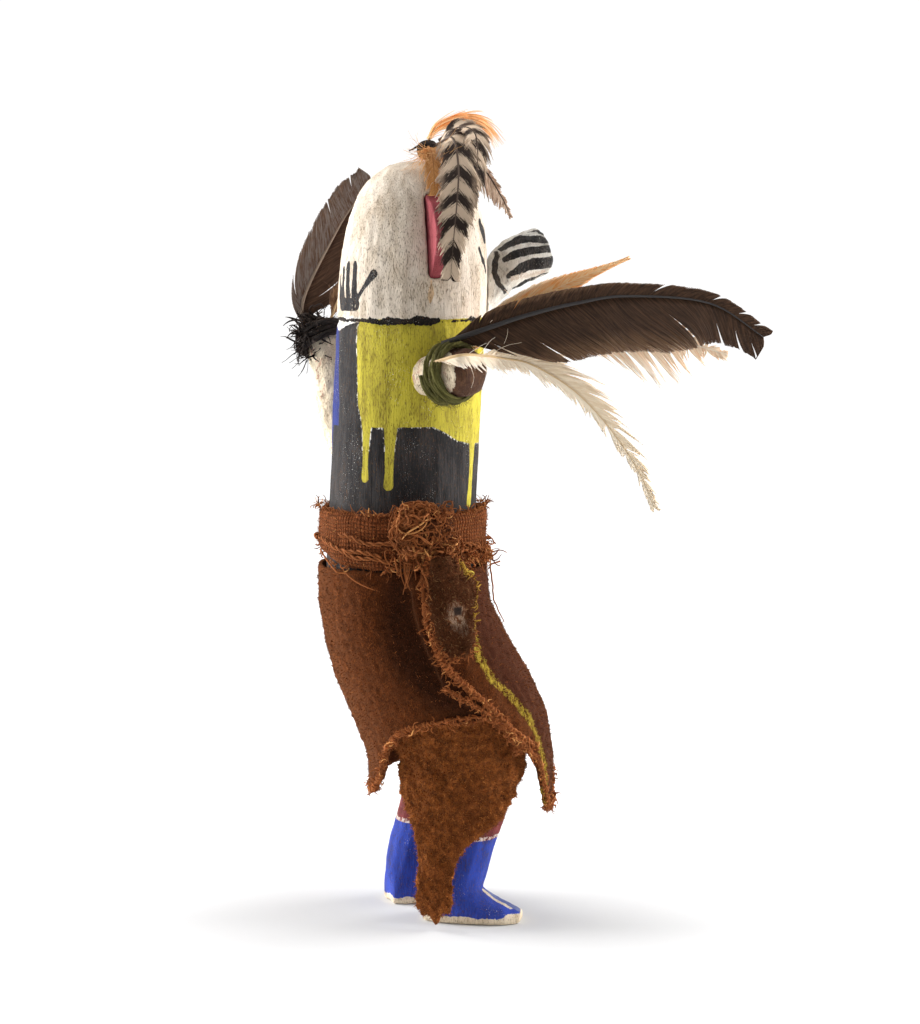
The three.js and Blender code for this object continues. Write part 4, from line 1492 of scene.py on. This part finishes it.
# ------------------------------------------------------------------------------- the wool
def tangle(
    draft: Draft, space: DollSpace, middle: Triple, radii: Triple, count: int, radius: float, run: float,
    rng: random.Random,
) -> None:
    """Adds threads that wander over an egg-shaped knot.

    Args:
        draft: What the threads are added to.
        space: The doll's place in the frame.
        middle: The knot's middle, as forward, right and up.
        radii: Its radii in the same directions.
        count: How many threads there are.
        radius: A thread's radius.
        run: About how long each is.
        rng: What their ways are drawn from.
    """
    stride = 1.3
    for _ in range(count):
        place, heading = (Vector([rng.gauss(0, 1) for _ in range(3)]).normalized() for _ in range(2))
        turn = rng.choice((-1, 1)) * rng.uniform(0.1, 0.55)
        level = rng.uniform(0.78, 1.06)
        path = []
        for _ in range(max(8, int(run * rng.uniform(0.5, 1.3) / stride))):
            heading = (heading - place * heading.dot(place)).normalized()
            heading = Matrix.Rotation(turn, 3, place) @ heading
            turn += rng.gauss(0, 0.08)
            place = (place + heading * (stride / min(radii) * 0.75)).normalized()
            level = min(max(level + rng.gauss(0, 0.035), 0.74), 1.1)
            path.append(space.at(*(middle[axis] + place[axis] * radii[axis] * level for axis in range(3))))
        draft.thread(path, radius * rng.uniform(0.7, 1.15), rng.random())


@dataclass
class Belt:
    """The woven belt, its frayed edge and the ravelled knot at the doll's right.

    Its cords each have a first and last angle, a height and how far they climb.
    """

    shop: Workshop
    low: float = 129.0
    high: float = 148.3
    radius: float = 30.3
    knot: Triple = (-0.6, 29.6, 142.6)
    cords: tuple[tuple[float, ...], ...] = (
        (118, 178, 133.4, 4.6), (112, 160, 131.4, 4.4), (180, 262, 137.4, -1.5),
        (20, 62, 133, 4.0), (104, 150, 137.2, 3.0), (-40, 18, 134, 2.0),
    )

    def build(self) -> None:
        """Makes the band, its fringes and the knot."""
        shop = self.shop
        band = shop.shaped("belt", 0.6, 2, BELT_WOOL, "belt_wool")
        points = points_of(band)
        forward, right, up = shop.space.read(points)
        points[:, 2] += (self.high - up) * self._drawn(degrees_round(forward, right)) * MM
        move_points(band, points)
        up = points[:, 2] / MM - SOLE
        around = degrees_round(forward + BELT_BEHIND, right) * math.radians(self.radius)
        weave = np.abs(np.sin(around * math.pi / BELT_WOOL.weave) * np.sin(up * math.pi / BELT_WOOL.weave))
        displace(band, weave * 0.26 - 0.1 + clouds(points, 6, 4.9) * 0.6)
        bend = clouds(points, 9, 1.1)
        keep_values(band, around=around + 1.1 * bend, up=up + 0.9 * bend)
        fuzz = Nap("belt_fuzz", 6000, 1.3, 0.08, 0.9, 31).grow(
            band, lambda places, ways: np.ones(len(places))
        )
        shop.dress(fuzz, BELT_THREAD, "belt_wool")
        fray = self._fray()
        core = shop.shaped("belt_knot", 0.6, 4, KNOT_WOOL, "belt_wool")
        displace(core, clouds(points_of(core), 3, 6.6) * 1.2 - 1.2)
        self._ravel()

    def _drawn(self, around: Array | float) -> Array:
        """Says how far the lower edge is drawn up at an angle, as a share of the band's height."""
        near = np.clip(1 - np.abs(around - 205) / 65, 0, 1)
        return 0.32 * near * near * (3 - 2 * near)

    def _edge(self, degrees: float, up: float, proud: float) -> Vector:
        """Gives a place on the band by its angle and height."""
        turn = math.radians(degrees)
        out = self.radius + proud
        return self.shop.space.at(math.cos(turn) * out - BELT_BEHIND, math.sin(turn) * out, up)

    def _fray(self) -> Piece:
        """Makes the loose threads along both edges and the cords that cross the band."""
        rng = random.Random(41)
        draft = Draft()
        wisp = Wisp((1.8, 4.6), (0.14, 0.26), 8, 0.42)
        for _ in range(360):
            degrees = rng.uniform(0, 360)
            top = rng.random() < 0.62
            low = self.low + (self.high - self.low) * float(self._drawn(degrees))
            start = self._edge(degrees, (self.high if top else low) + rng.uniform(-0.8, 0.4), -0.4)
            outward = self.shop.space.level(degrees)
            aim = outward * rng.uniform(0.1, 0.9) + UP * (1 if top else -1)
            wisp.add(draft, start, aim + outward.cross(UP) * rng.uniform(-1.2, 1.2), rng)
        for first, last, height, climb in self.cords:
            for ply in range(2):
                path = []
                for step in range(60):
                    share = step / 59
                    twist = share * abs(last - first) * 0.5 + ply * math.pi
                    rise = height + climb * share + 0.45 * math.sin(twist) + 0.6 * math.sin(share * 9)
                    path.append(self._edge(lerp(first, last, share), rise, 0.9 + 0.45 * math.cos(twist)))
                draft.thread(path, 0.4, rng.uniform(0.3, 0.8))
        return self.shop.dress(draft.build("belt_fray"), BELT_THREAD, "belt_wool")

    def _ravel(self) -> None:
        """Makes the tangle of threads that ties the belt, with ends that hang from it."""
        rng = random.Random(42)
        draft = Draft()
        space = self.shop.space
        forward, right, up = self.knot
        tangle(draft, space, (forward - 2.6, right, up), (9.6, 6.2, 10.2), 190, 0.36, 18, rng)
        tangle(draft, space, (forward + 5, right - 2, up - 6), (9, 5, 4.2), 70, 0.32, 14, rng)

        def bunch(count: int, spread: Sequence[Pair], ways: Sequence[Pair], wisp: Wisp) -> None:
            """Adds loose threads about the knot, over a spread of places and ways."""
            for _ in range(count):
                offset = [rng.uniform(*pair) for pair in spread]
                start = space.at(forward + offset[0], right + offset[1], up + offset[2])
                wisp.add(draft, start, space.turned(*(rng.uniform(*pair) for pair in ways)), rng)

        bunch(
            330, ((-11, 9), (0.5, 5), (-9, 9)), ((-1, 1), (0.1, 1.0), (-1, 1)),
            Wisp((3, 8), (0.1, 0.2), 12, 0.6),
        )
        wisp = Wisp((4, 10), (0.16, 0.36), 13, 0.55, 0.03)
        for _ in range(170):
            degrees = rng.uniform(22, 116)
            start = self._edge(degrees, rng.uniform(129.5, 135.5), 0.4)
            outward = space.level(degrees)
            aim = outward + outward.cross(UP) * rng.uniform(-2, 2) + UP * rng.uniform(-1, 0.6)
            wisp.add(draft, start, aim, rng)
        bunch(
            70, ((-10, 9), (0.5, 4), (-8, 8)), ((-0.8, 0.8), (0.3, 1.0), (-0.6, 0.9)),
            Wisp((5, 11), (0.22, 0.42), 14, 0.6, 0.05, 5),
        )
        wisp = Wisp((7, 17), (0.2, 0.42), 14, 0.22, 0.25, 5)
        for _ in range(16):
            start = space.at(forward + rng.uniform(-12, 9), right + 1.5, up - rng.uniform(6, 9))
            wisp.add(draft, start, space.turned(rng.uniform(-0.4, 0.4), 0.5, -1), rng)
        self.shop.dress(draft.build("belt_knot_threads"), BELT_THREAD, "belt_wool", "belt_knot")


@dataclass
class Kilt:
    """The felted kilt: its skirt, the folded flap, the curly hems and the painted stripe.

    The places on it are an angle round its own leaning axis and a height.
    """

    shop: Workshop
    heights: tuple[float, ...] = (34, 45, 56, 67, 78, 89, 100, 111, 122, 133)
    middles: tuple[float, ...] = (21, 21.2, 20.8, 18, 14, 9.2, 4.2, 0.3, -1.2, -1.4)
    arc: float = 0.6
    hem: Outline = (
        (52, 62), (81, 75), (116, 73.5), (135, 69.5), (152, 62), (166, 50), (180, 43.5), (205, 43.5),
        (225, 47), (270, 52), (320, 53), (360, 49), (378, 42), (392, 37.5), (401, 40), (411, 55),
        (428, 68), (443, 79), (458, 87),
    )
    edge: Outline = ((90.7, 132.7), (93, 104.8), (92.4, 98), (89.4, 91), (81, 83.6), (71.6, 74), (65.6, 62.4))
    ends: tuple[tuple[Pair, Pair], ...] = (((157.8, 135.4), (122, 122)), ((16, 128), (20, 106)))
    # The stroke of the painted shade beside the lapped panel's edge, where the fold casts its shadow.
    unfaded: Stroke = ((104, 132, 5), (108, 112, 8), (108, 98, 10), (100, 86, 9), (84, 76, 5))
    front: Outline = (
        (50, 128), (62, 112), (67, 98), (66, 86), (58, 80), (50, 68), (46, 54), (44, 38), (20, 36), (20, 128),
    )
    stripe: Stroke = (
        (64.4, 113, 1.5), (62.7, 110.4, 1.5), (67.9, 98.3, 1.5), (67.8, 89.4, 1.5), (60.5, 83.4, 1.5),
        (52.2, 73.2, 1.5), (47.4, 57.6, 1.5), (43.2, 42.3, 1.5),
    )
    flap_left: Outline = ((88, 134), (89.5, 122.5), (90, 114), (91, 107), (90.4, 102), (85.5, 98.5))
    flap_right: Outline = ((79, 134.5), (68, 128.4), (58.5, 122.6), (65, 115.4), (69, 107), (78, 100))
    spot: Pair = (76.4, 115.2)
    surface: BVHTree | None = None

    def build(self) -> None:
        """Makes the skirt and what is on it."""
        shop = self.shop
        skirt = shop.shaped("kilt", 0.8, 3, KILT_WOOL, "kilt_wool")
        points = points_of(skirt)
        displace(skirt, clouds(points, (12, 12, 16), 2.5) * 0.7 + clouds(points, 2.2, 8.8) * 0.35)
        places = points_of(skirt)
        across, up = self._read(places)
        keep_values(
            skirt,
            stripe=self._stripe_at(places),
            # How far inside the painted shade beside the panel's edge each point is.
            unfaded=brushed(across, up, (self.unfaded,), self.arc),
            maroon=inside_outline(across, up, self.front, self.arc),
        )
        faces = [tuple(face.vertices) for face in skirt.data.polygons]
        self.surface = BVHTree.FromPolygons([vertex.co for vertex in skirt.data.vertices], faces)
        nap = Nap("kilt_nap", 15000, 1.15, 0.12, 0.7, 51).grow(skirt, self._napped)
        shop.dress(nap, KILT_NAP, "kilt_wool")
        painted = Nap("kilt_stripe_nap", 1300, 0.9, 0.14, 0.7, 55).grow(skirt, self._striped)
        shop.dress(painted, STRIPE_NAP, "kilt_wool")
        pieces = [nap, painted, self._hems()]
        self._flap()

    def _middle(self, up: float | Array) -> float | Array:
        """Gives how far forward the kilt's middle is at a height."""
        return np.interp(up, self.heights, self.middles)

    def _read(self, places: Array) -> tuple[Array, Array]:
        """Reads how far round the kilt places are, in millimetres, and their heights."""
        forward, right, up = self.shop.space.read(places)
        return degrees_round(forward - self._middle(up), right) * self.arc, up

    def _outer(self, places: Array, ways: Array) -> Array:
        """Says how much nap the outside carries, and the inside a little."""
        forward, right, up = self.shop.space.read(places)
        out = np.stack([-right, -(forward - self._middle(up))], axis=1)
        out /= np.linalg.norm(out, axis=1)[:, None]
        return np.where((out * ways[:, :2]).sum(axis=1) > -0.2, 1.0, 0.06)

    def _stripe_at(self, places: Array) -> Array:
        """Says how far inside the painted stripe places are."""
        return brushed(*self._read(places), (self.stripe,), self.arc) + 0.5 * clouds(places, (2, 2, 4), 3.9)

    def _napped(self, places: Array, ways: Array) -> Array:
        """Says how much nap there is, with none where the stripe's paint has stiffened it."""
        return self._outer(places, ways) * (self._stripe_at(places) < 0.2)

    def _striped(self, places: Array, ways: Array) -> Array:
        """Says where painted nap stands."""
        return self._outer(places, ways) * (self._stripe_at(places) > -0.1)

    def _off_spot(self, places: Array, ways: Array) -> Array:
        """Keeps nap off the stiff spot on the flap."""
        across, up = self._read(places)
        away = np.hypot(across - self.spot[0] * self.arc, (up - 114) * 0.75)
        return self._outer(places, ways) * (away > 3.4)

    def _on(self, degrees: float, up: float, proud: float) -> Vector:
        """Finds the place on the skirt's outside, and goes out from it by proud millimetres."""
        axis = self.shop.space.at(float(self._middle(up)), 0, up)
        outward = self.shop.space.level(degrees)
        hit = self.surface.ray_cast(axis + outward * 0.09, -outward, 0.075)[0]
        return (hit or axis + outward * 0.034) + outward * (proud * MM)

    def _hems(self) -> Piece:
        """Makes the curly loops along the hem and the lapped edge, and the two loose ends."""
        rng = random.Random(52)
        draft = Draft()
        wisp = Wisp((1.8, 5.0), (0.14, 0.3), 10, 0.7)
        for outline, count, inset, thick in ((self.hem, 1500, 1.0, 0.75), (self.edge, 900, 0.0, 1.1)):
            self._roll(draft, outline, inset, thick)
            for _ in range(count):
                spot = rng.random() * (len(outline) - 1)
                (a0, u0), (a1, u1) = outline[int(spot)], outline[int(spot) + 1]
                degrees, up = lerp(a0, a1, spot % 1), lerp(u0, u1, spot % 1) + inset + rng.uniform(-0.8, 0.8)
                start = self._on(degrees % 360, up, -0.3)
                outward = self.shop.space.level(degrees)
                aim = outward * rng.uniform(0.2, 1.1) + UP * rng.uniform(-1.1, 0.1)
                wisp.add(draft, start, aim + outward.cross(UP) * rng.uniform(-0.9, 0.9), rng)
        for top, low in self.ends:
            path = []
            for step in range(24):
                share = step / 23
                sag = 2.2 * math.sin(share * math.pi)
                path.append(self._on(lerp(top[0], low[0], share), lerp(top[1], low[1], share) - sag, 1.6))
            draft.thread(path, 0.32, 0.6)
        return self.shop.dress(draft.build("kilt_hems"), HEM_NAP, "kilt_wool")

    def _roll(self, draft: Draft, outline: Outline, inset: float, thick: float) -> None:
        """Adds a rolled edge along an outline: a core with curly yarn wound over it."""
        route = Route([Vector((*place, 0)) for place in outline])
        count = 40 * (len(outline) - 1) // 2
        path, sizes = [], []
        for step in range(count + 1):
            place = route.at(step / count)
            path.append(self._on(place.x % 360, place.y + inset, thick * 1.3 - 0.75))
            sizes.append(thick * (0.7 + 0.4 * noise.noise(Vector((step * 0.45, thick, 0.5)))))
        draft.strand(path, sizes, sizes, SLANT, 8, tone=0.1)
        edge = Route(path)
        run = edge.length() / MM
        steps = int(run * 5.5)
        for ply, pace in enumerate((-0.4, 0.5)):
            coil = []
            for step in range(steps):
                share = step / steps
                travel = edge.heading(share)
                side = travel.cross(Vector((0.1, 0.2, 0.97))).normalized()
                turn = step * pace + 7 * noise.noise(Vector((share * run * 0.35, ply, 0)))
                swell = thick * (0.8 + 1.3 * noise.noise(Vector((share * run * 0.6, ply * 7, 3))))
                offset = side * math.cos(turn) + travel.cross(side) * math.sin(turn)
                coil.append(edge.at(share) + offset * (swell * MM))
            draft.thread(coil, 0.3, 0.45 + 0.4 * ply)

    def _flap(self) -> None:
        """Makes the folded-over flap below the knot, with its nap and curly rim."""
        shop = self.shop
        rim: list[Triple] = []
        flap = self._flap_form(rim)
        shop.dress(flap, FLAP_WOOL, "kilt_wool")
        places = points_of(flap)
        across, up = self._read(places)
        middle, high = self.spot[0] * self.arc, self.spot[1]
        smudge = 3.1 - np.hypot(across - middle - 0.3, (up - high + 2.2) / 1.8)
        keep_values(
            flap,
            spot=1.5 - np.maximum(np.abs(across - middle), np.abs(up - high)),
            spot_ring=smudge + 1.5 * clouds(places, 1.8, 2.7),
        )
        nap = Nap("kilt_flap_nap", 3200, 1.5, 0.12, 0.9, 53).grow(flap, self._off_spot)
        pieces = [shop.dress(nap, FLAP_NAP, "kilt_wool")]
        rng = random.Random(54)
        brown, gold = Draft(), Draft()
        wisp = Wisp((1.8, 4.4), (0.16, 0.3), 9, 0.6)
        for _ in range(420):
            degrees, up, swell = rng.choice(rim)
            start = self._on(degrees, up + rng.uniform(-0.6, 0.6), swell)
            outward = shop.space.level(degrees)
            aim = outward * rng.uniform(0, 0.9) + outward.cross(UP) * (1 if degrees > 80 else -1)
            aim += UP * rng.uniform(-0.8, 0.6)
            wisp.add(gold if degrees < 73 and up > 108 else brown, start, aim, rng)
        pieces.append(shop.dress(brown.build("kilt_flap_rim"), HEM_NAP, "kilt_wool"))
        pieces.append(shop.dress(gold.build("kilt_flap_gold"), GOLD_THREAD, "kilt_wool"))

    def _flap_form(self, rim: list[Triple]) -> Piece:
        """Shapes the flap, and adds its edge's angles, heights and swells to the rim."""
        rows, columns = 44, 22
        sides = (self.flap_left, self.flap_right)
        left, right = (Route([Vector((*place, 0)) for place in side]) for side in sides)
        points, faces = [], []
        for row in range(rows + 1):
            v = row / rows
            start, end = left.at(v), right.at(v)
            for column in range(columns + 1):
                u = column / columns
                place = start.lerp(end, u)
                full = math.sin(math.pi * u) ** 0.6 * math.sin(math.pi * min(v * 0.9 + 0.1, 1)) ** 0.5
                swell = 2.4 + 1.4 * u + 3.0 * full + 0.8 * math.sin(u * 5 + v * 3)
                points.append(self._on(place.x, place.y, swell))
                if column in (0, columns) or row == rows:
                    rim.append((place.x, place.y, swell))
                if row < rows and column < columns:
                    near = row * (columns + 1) + column
                    faces.append((near, near + 1, near + columns + 2, near + columns + 1))
        flap = new_piece("kilt_flap", points, faces)
        apply_modifier(flap, "SMOOTH", factor=0.5, iterations=2)
        apply_modifier(flap, "SOLIDIFY", thickness=1.9 * MM, offset=0.0)
        apply_modifier(flap, "REMESH", mode="VOXEL", voxel_size=0.6 * MM)
        apply_modifier(flap, "SMOOTH", factor=0.5, iterations=2)
        bpy.ops.object.shade_smooth()
        displace(flap, clouds(points_of(flap), 4, 5.5) * 0.6)
        return flap


@dataclass
class HangingCloth:
    """The longer felted cloth that hangs behind the right leg, almost to the floor."""

    shop: Workshop
    ragged: float = 14.0

    def build(self) -> None:
        """Makes the cloth and its thick nap."""
        cloth = self.shop.shaped("hanging_cloth", 0.7, 3, CLOTH_WOOL, "cloth_wool")
        points = points_of(cloth)
        low = np.clip((points[:, 2] / MM - 2.5) / 4, 0, 1)
        displace(cloth, (clouds(points, (5, 5, 6), 1.9) * 1.1 + clouds(points, 2, 7.7) * 0.9) * low)
        self._tatter(cloth)
        nap = Nap("cloth_nap", 19000, 1.3, 0.13, 0.9, 61).grow(cloth, self._above_floor)
        self.shop.dress(nap, CLOTH_NAP, "cloth_wool")

    def _tatter(self, cloth: Piece) -> None:
        """Draws the cloth's foot up here and there, so that its end is ragged."""
        points = points_of(cloth)
        foot = np.clip((self.ragged - points[:, 2] / MM) / self.ragged, 0, 1)
        points[:, 2] += foot * (2.2 + 6.0 * clouds(points * (1, 1, 0), 3, 4.6)).clip(0, 9) * MM
        move_points(cloth, points)

    def _above_floor(self, places: Array, ways: Array) -> Array:
        """Keeps the nap off the floor."""
        return np.where(places[:, 2] > 4.5 * MM, 1.0, 0.0)


@dataclass
class CrestTie:
    """The black string that binds the crest, and the black curls round the left arm's end."""

    shop: Workshop
    middle: Triple = (8.6, 0.4, 274.6)
    hand: Triple = (-21, -44, 208)

    def build(self) -> None:
        """Winds the string and adds the curls."""
        rng = random.Random(71)
        space = self.shop.space
        draft, curls = Draft(), Draft()
        tangle(draft, space, self.middle, (3.6, 4.0, 3.2), 52, 0.42, 20, rng)
        start = space.at(self.middle[0] - 2, self.middle[1] + 2, self.middle[2] + 2)
        for _ in range(3):
            aim = space.turned(-1, rng.uniform(-0.2, 0.6), 0.3)
            path = curled(start, aim, rng.uniform(5, 8) * MM, rng, 12, 0.3, 0.1)
            draft.thread(path, 0.4, rng.random())
        self.shop.dress(draft.build("crest_tie_string"), STRING, "string", "crest_tie")
        flat = [0.6 * (1 - 0.8 * (step / 14) ** 2) for step in range(15)]
        forward, right, up = self.hand
        for _ in range(300):
            start = space.at(
                forward + rng.uniform(-5, 4), right + rng.uniform(-4, 5), up + rng.uniform(-6, 6)
            )
            aim = space.turned(rng.uniform(-1.9, 0.5), rng.uniform(-0.6, 0.6), rng.uniform(-1.1, 0.9))
            path = curled(start, aim, rng.uniform(7, 14) * MM, rng, 14, 0.24, 0.03)
            curls.strand(path, flat, [0.1] * 15, Vector((0.3, 0.9, 0.2)), 4, tone=rng.random() * 0.6)
        self.shop.dress(curls.build("left_hand_curls"), BLACK_YARN, "black_yarn")


# ------------------------------------------------------------------------------- the studio
@dataclass
class Studio:
    """The pale floor, the soft lights and the camera.

    Attributes:
        space: The doll's place in the frame.
        turn: The camera's bearing round the doll, in degrees.
        distance: How far away it stands, in metres.
        aside: How far it looks past the doll's axis, in metres.
        height: How high it stands, in metres.
        look: The height that it looks at, in metres.
        scale: How much of the scene one part of its picture covers, in metres.
        lamps: Each light's name, its place from the doll's middle towards the camera, to the
            camera's right and up, its width and height, all in metres, and its power.
        floor_lit: How pale the floor is to the light that it sends on to the doll.
        floor_seen: How pale it is to the camera.
        world_lit: How much light comes from all round.
        world_seen: How much brighter that is to the camera.
    """

    space: DollSpace
    turn: float = 254.0
    distance: float = 0.85
    aside: float = 0.0198
    height: float = 0.2514
    look: float = 0.1472
    scale: float = 0.00036
    lamps: tuple[tuple, ...] = (
        ("left_box", (-0.18, -0.62, 0.12), (0.5, 0.8), 14.0),
        ("right_box", (-0.1, 0.62, 0.12), (0.5, 0.8), 9.6),
        ("top_box", (-0.1, 0, 0.75), (0.9, 0.7), 3.6),
        ("front_box", (0.8, 0.15, 0.4), (0.6, 0.6), 0.8),
    )
    floor_lit: float = 0.97
    floor_seen: float = 0.62
    world_lit: float = 0.15
    world_seen: float = 0.9

    def _from_axis(self, back: float, right: float, up: float) -> Vector:
        """Goes from the foot of the doll's axis towards the camera, to its right and up, in metres."""
        bearing = math.radians(self.turn)
        away = Vector((math.sin(bearing), -math.cos(bearing), 0))
        aside = Vector((math.cos(bearing), math.sin(bearing), 0))
        return Vector((self.space.middle_x, self.space.middle_y, up)) + away * back + aside * right

    def _facing(self, place: Vector, target: Vector) -> dict[str, object]:
        """Stands something at a place, facing a target."""
        return {"location": place, "rotation": (target - place).to_track_quat("-Z", "Y").to_euler()}

    def set_camera(self) -> None:
        """Adds the camera and makes it the scene's."""
        place = self._from_axis(self.distance, self.aside, self.height)
        target = self._from_axis(0, self.aside, self.look)
        bpy.ops.object.camera_add(**self._facing(place, target))
        camera = bpy.context.active_object
        camera.name = "studio_camera"
        camera.data.sensor_width = 36
        camera.data.lens = (target - place).length / self.scale * 36 / 1024
        camera.data.clip_start = 0.01
        bpy.context.scene.camera = camera

    def light(self) -> None:
        """Lights the doll softly from both sides, from above and a little from the front."""
        middle = 0.15
        for name, (back, right, up), size, power in self.lamps:
            place, target = self._from_axis(back, right, middle + up), self._from_axis(0, 0, middle)
            bpy.ops.object.light_add(type="AREA", **self._facing(place, target))
            lamp = bpy.context.active_object
            lamp.name = name
            lamp.data.shape = "RECTANGLE"
            lamp.data.size, lamp.data.size_y = size
            lamp.data.energy = power
        world = bpy.data.worlds.new("studio")
        world.use_nodes = True
        tree = Tree(world.node_tree)
        ground = world.node_tree.nodes["Background"]
        tree.feed(ground.inputs["Color"], (255, 255, 255))
        seen = tree.add("ShaderNodeLightPath").outputs["Is Camera Ray"]
        tree.feed(ground.inputs["Strength"], tree.plus(tree.times(seen, self.world_seen), self.world_lit))
        bpy.context.scene.world = world

    def floor(self) -> None:
        """Lays the pale floor, which glows to the camera alone, more and more away from the doll."""
        axis = self._from_axis(0, 0, 0)
        bpy.ops.object.select_all(action="DESELECT")
        bpy.ops.mesh.primitive_plane_add(size=12, location=(axis.x, axis.y, -0.2 * MM))
        floor = bpy.context.active_object
        floor.name = "studio_floor"
        bpy.ops.object.transform_apply(location=True, rotation=True, scale=True)
        made = Finish("pale_floor", 0.7)
        tree = made.tree
        away = tree.add("ShaderNodeVectorMath", operation="DISTANCE")
        tree.feed(away.inputs[0], tree.add("ShaderNodeTexCoord").outputs["Object"])
        away.inputs[1].default_value = (axis.x, axis.y, 0)
        seen = tree.add("ShaderNodeLightPath").outputs["Is Camera Ray"]
        darker = tree.times(seen, self.floor_seen - self.floor_lit)
        glow = tree.smooth(away.outputs["Value"], 0.03, 0.32)
        tree.feed(made.shader["Base Color"], tree.plus(darker, self.floor_lit))
        tree.feed(made.shader["Emission Color"], tree.plus(tree.times(glow, 0.98), 0.02))
        tree.feed(made.shader["Emission Strength"], seen)
        floor.data.materials.append(made.material)


def main() -> None:
    """Dresses the doll, part by part."""
    logging.basicConfig(level=logging.INFO, format="%(name)s: %(message)s")
    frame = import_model()
    space = DollSpace.from_frame()
    studio = Studio(space)
    studio.set_camera()
    shop = Workshop(frame, space, Effects())
    for part in (Carving, Snout, EarPair, Arms):
        part(shop).build()
    for feather in FEATHERS:
        feather.build(shop)
    for part in (Plume, CrestTie, Belt, Kilt, HangingCloth):
        part(shop).build()
    studio.floor()
    studio.light()
    bpy.context.scene.view_settings.view_transform = "Standard"


if __name__ == "__main__":
    main()
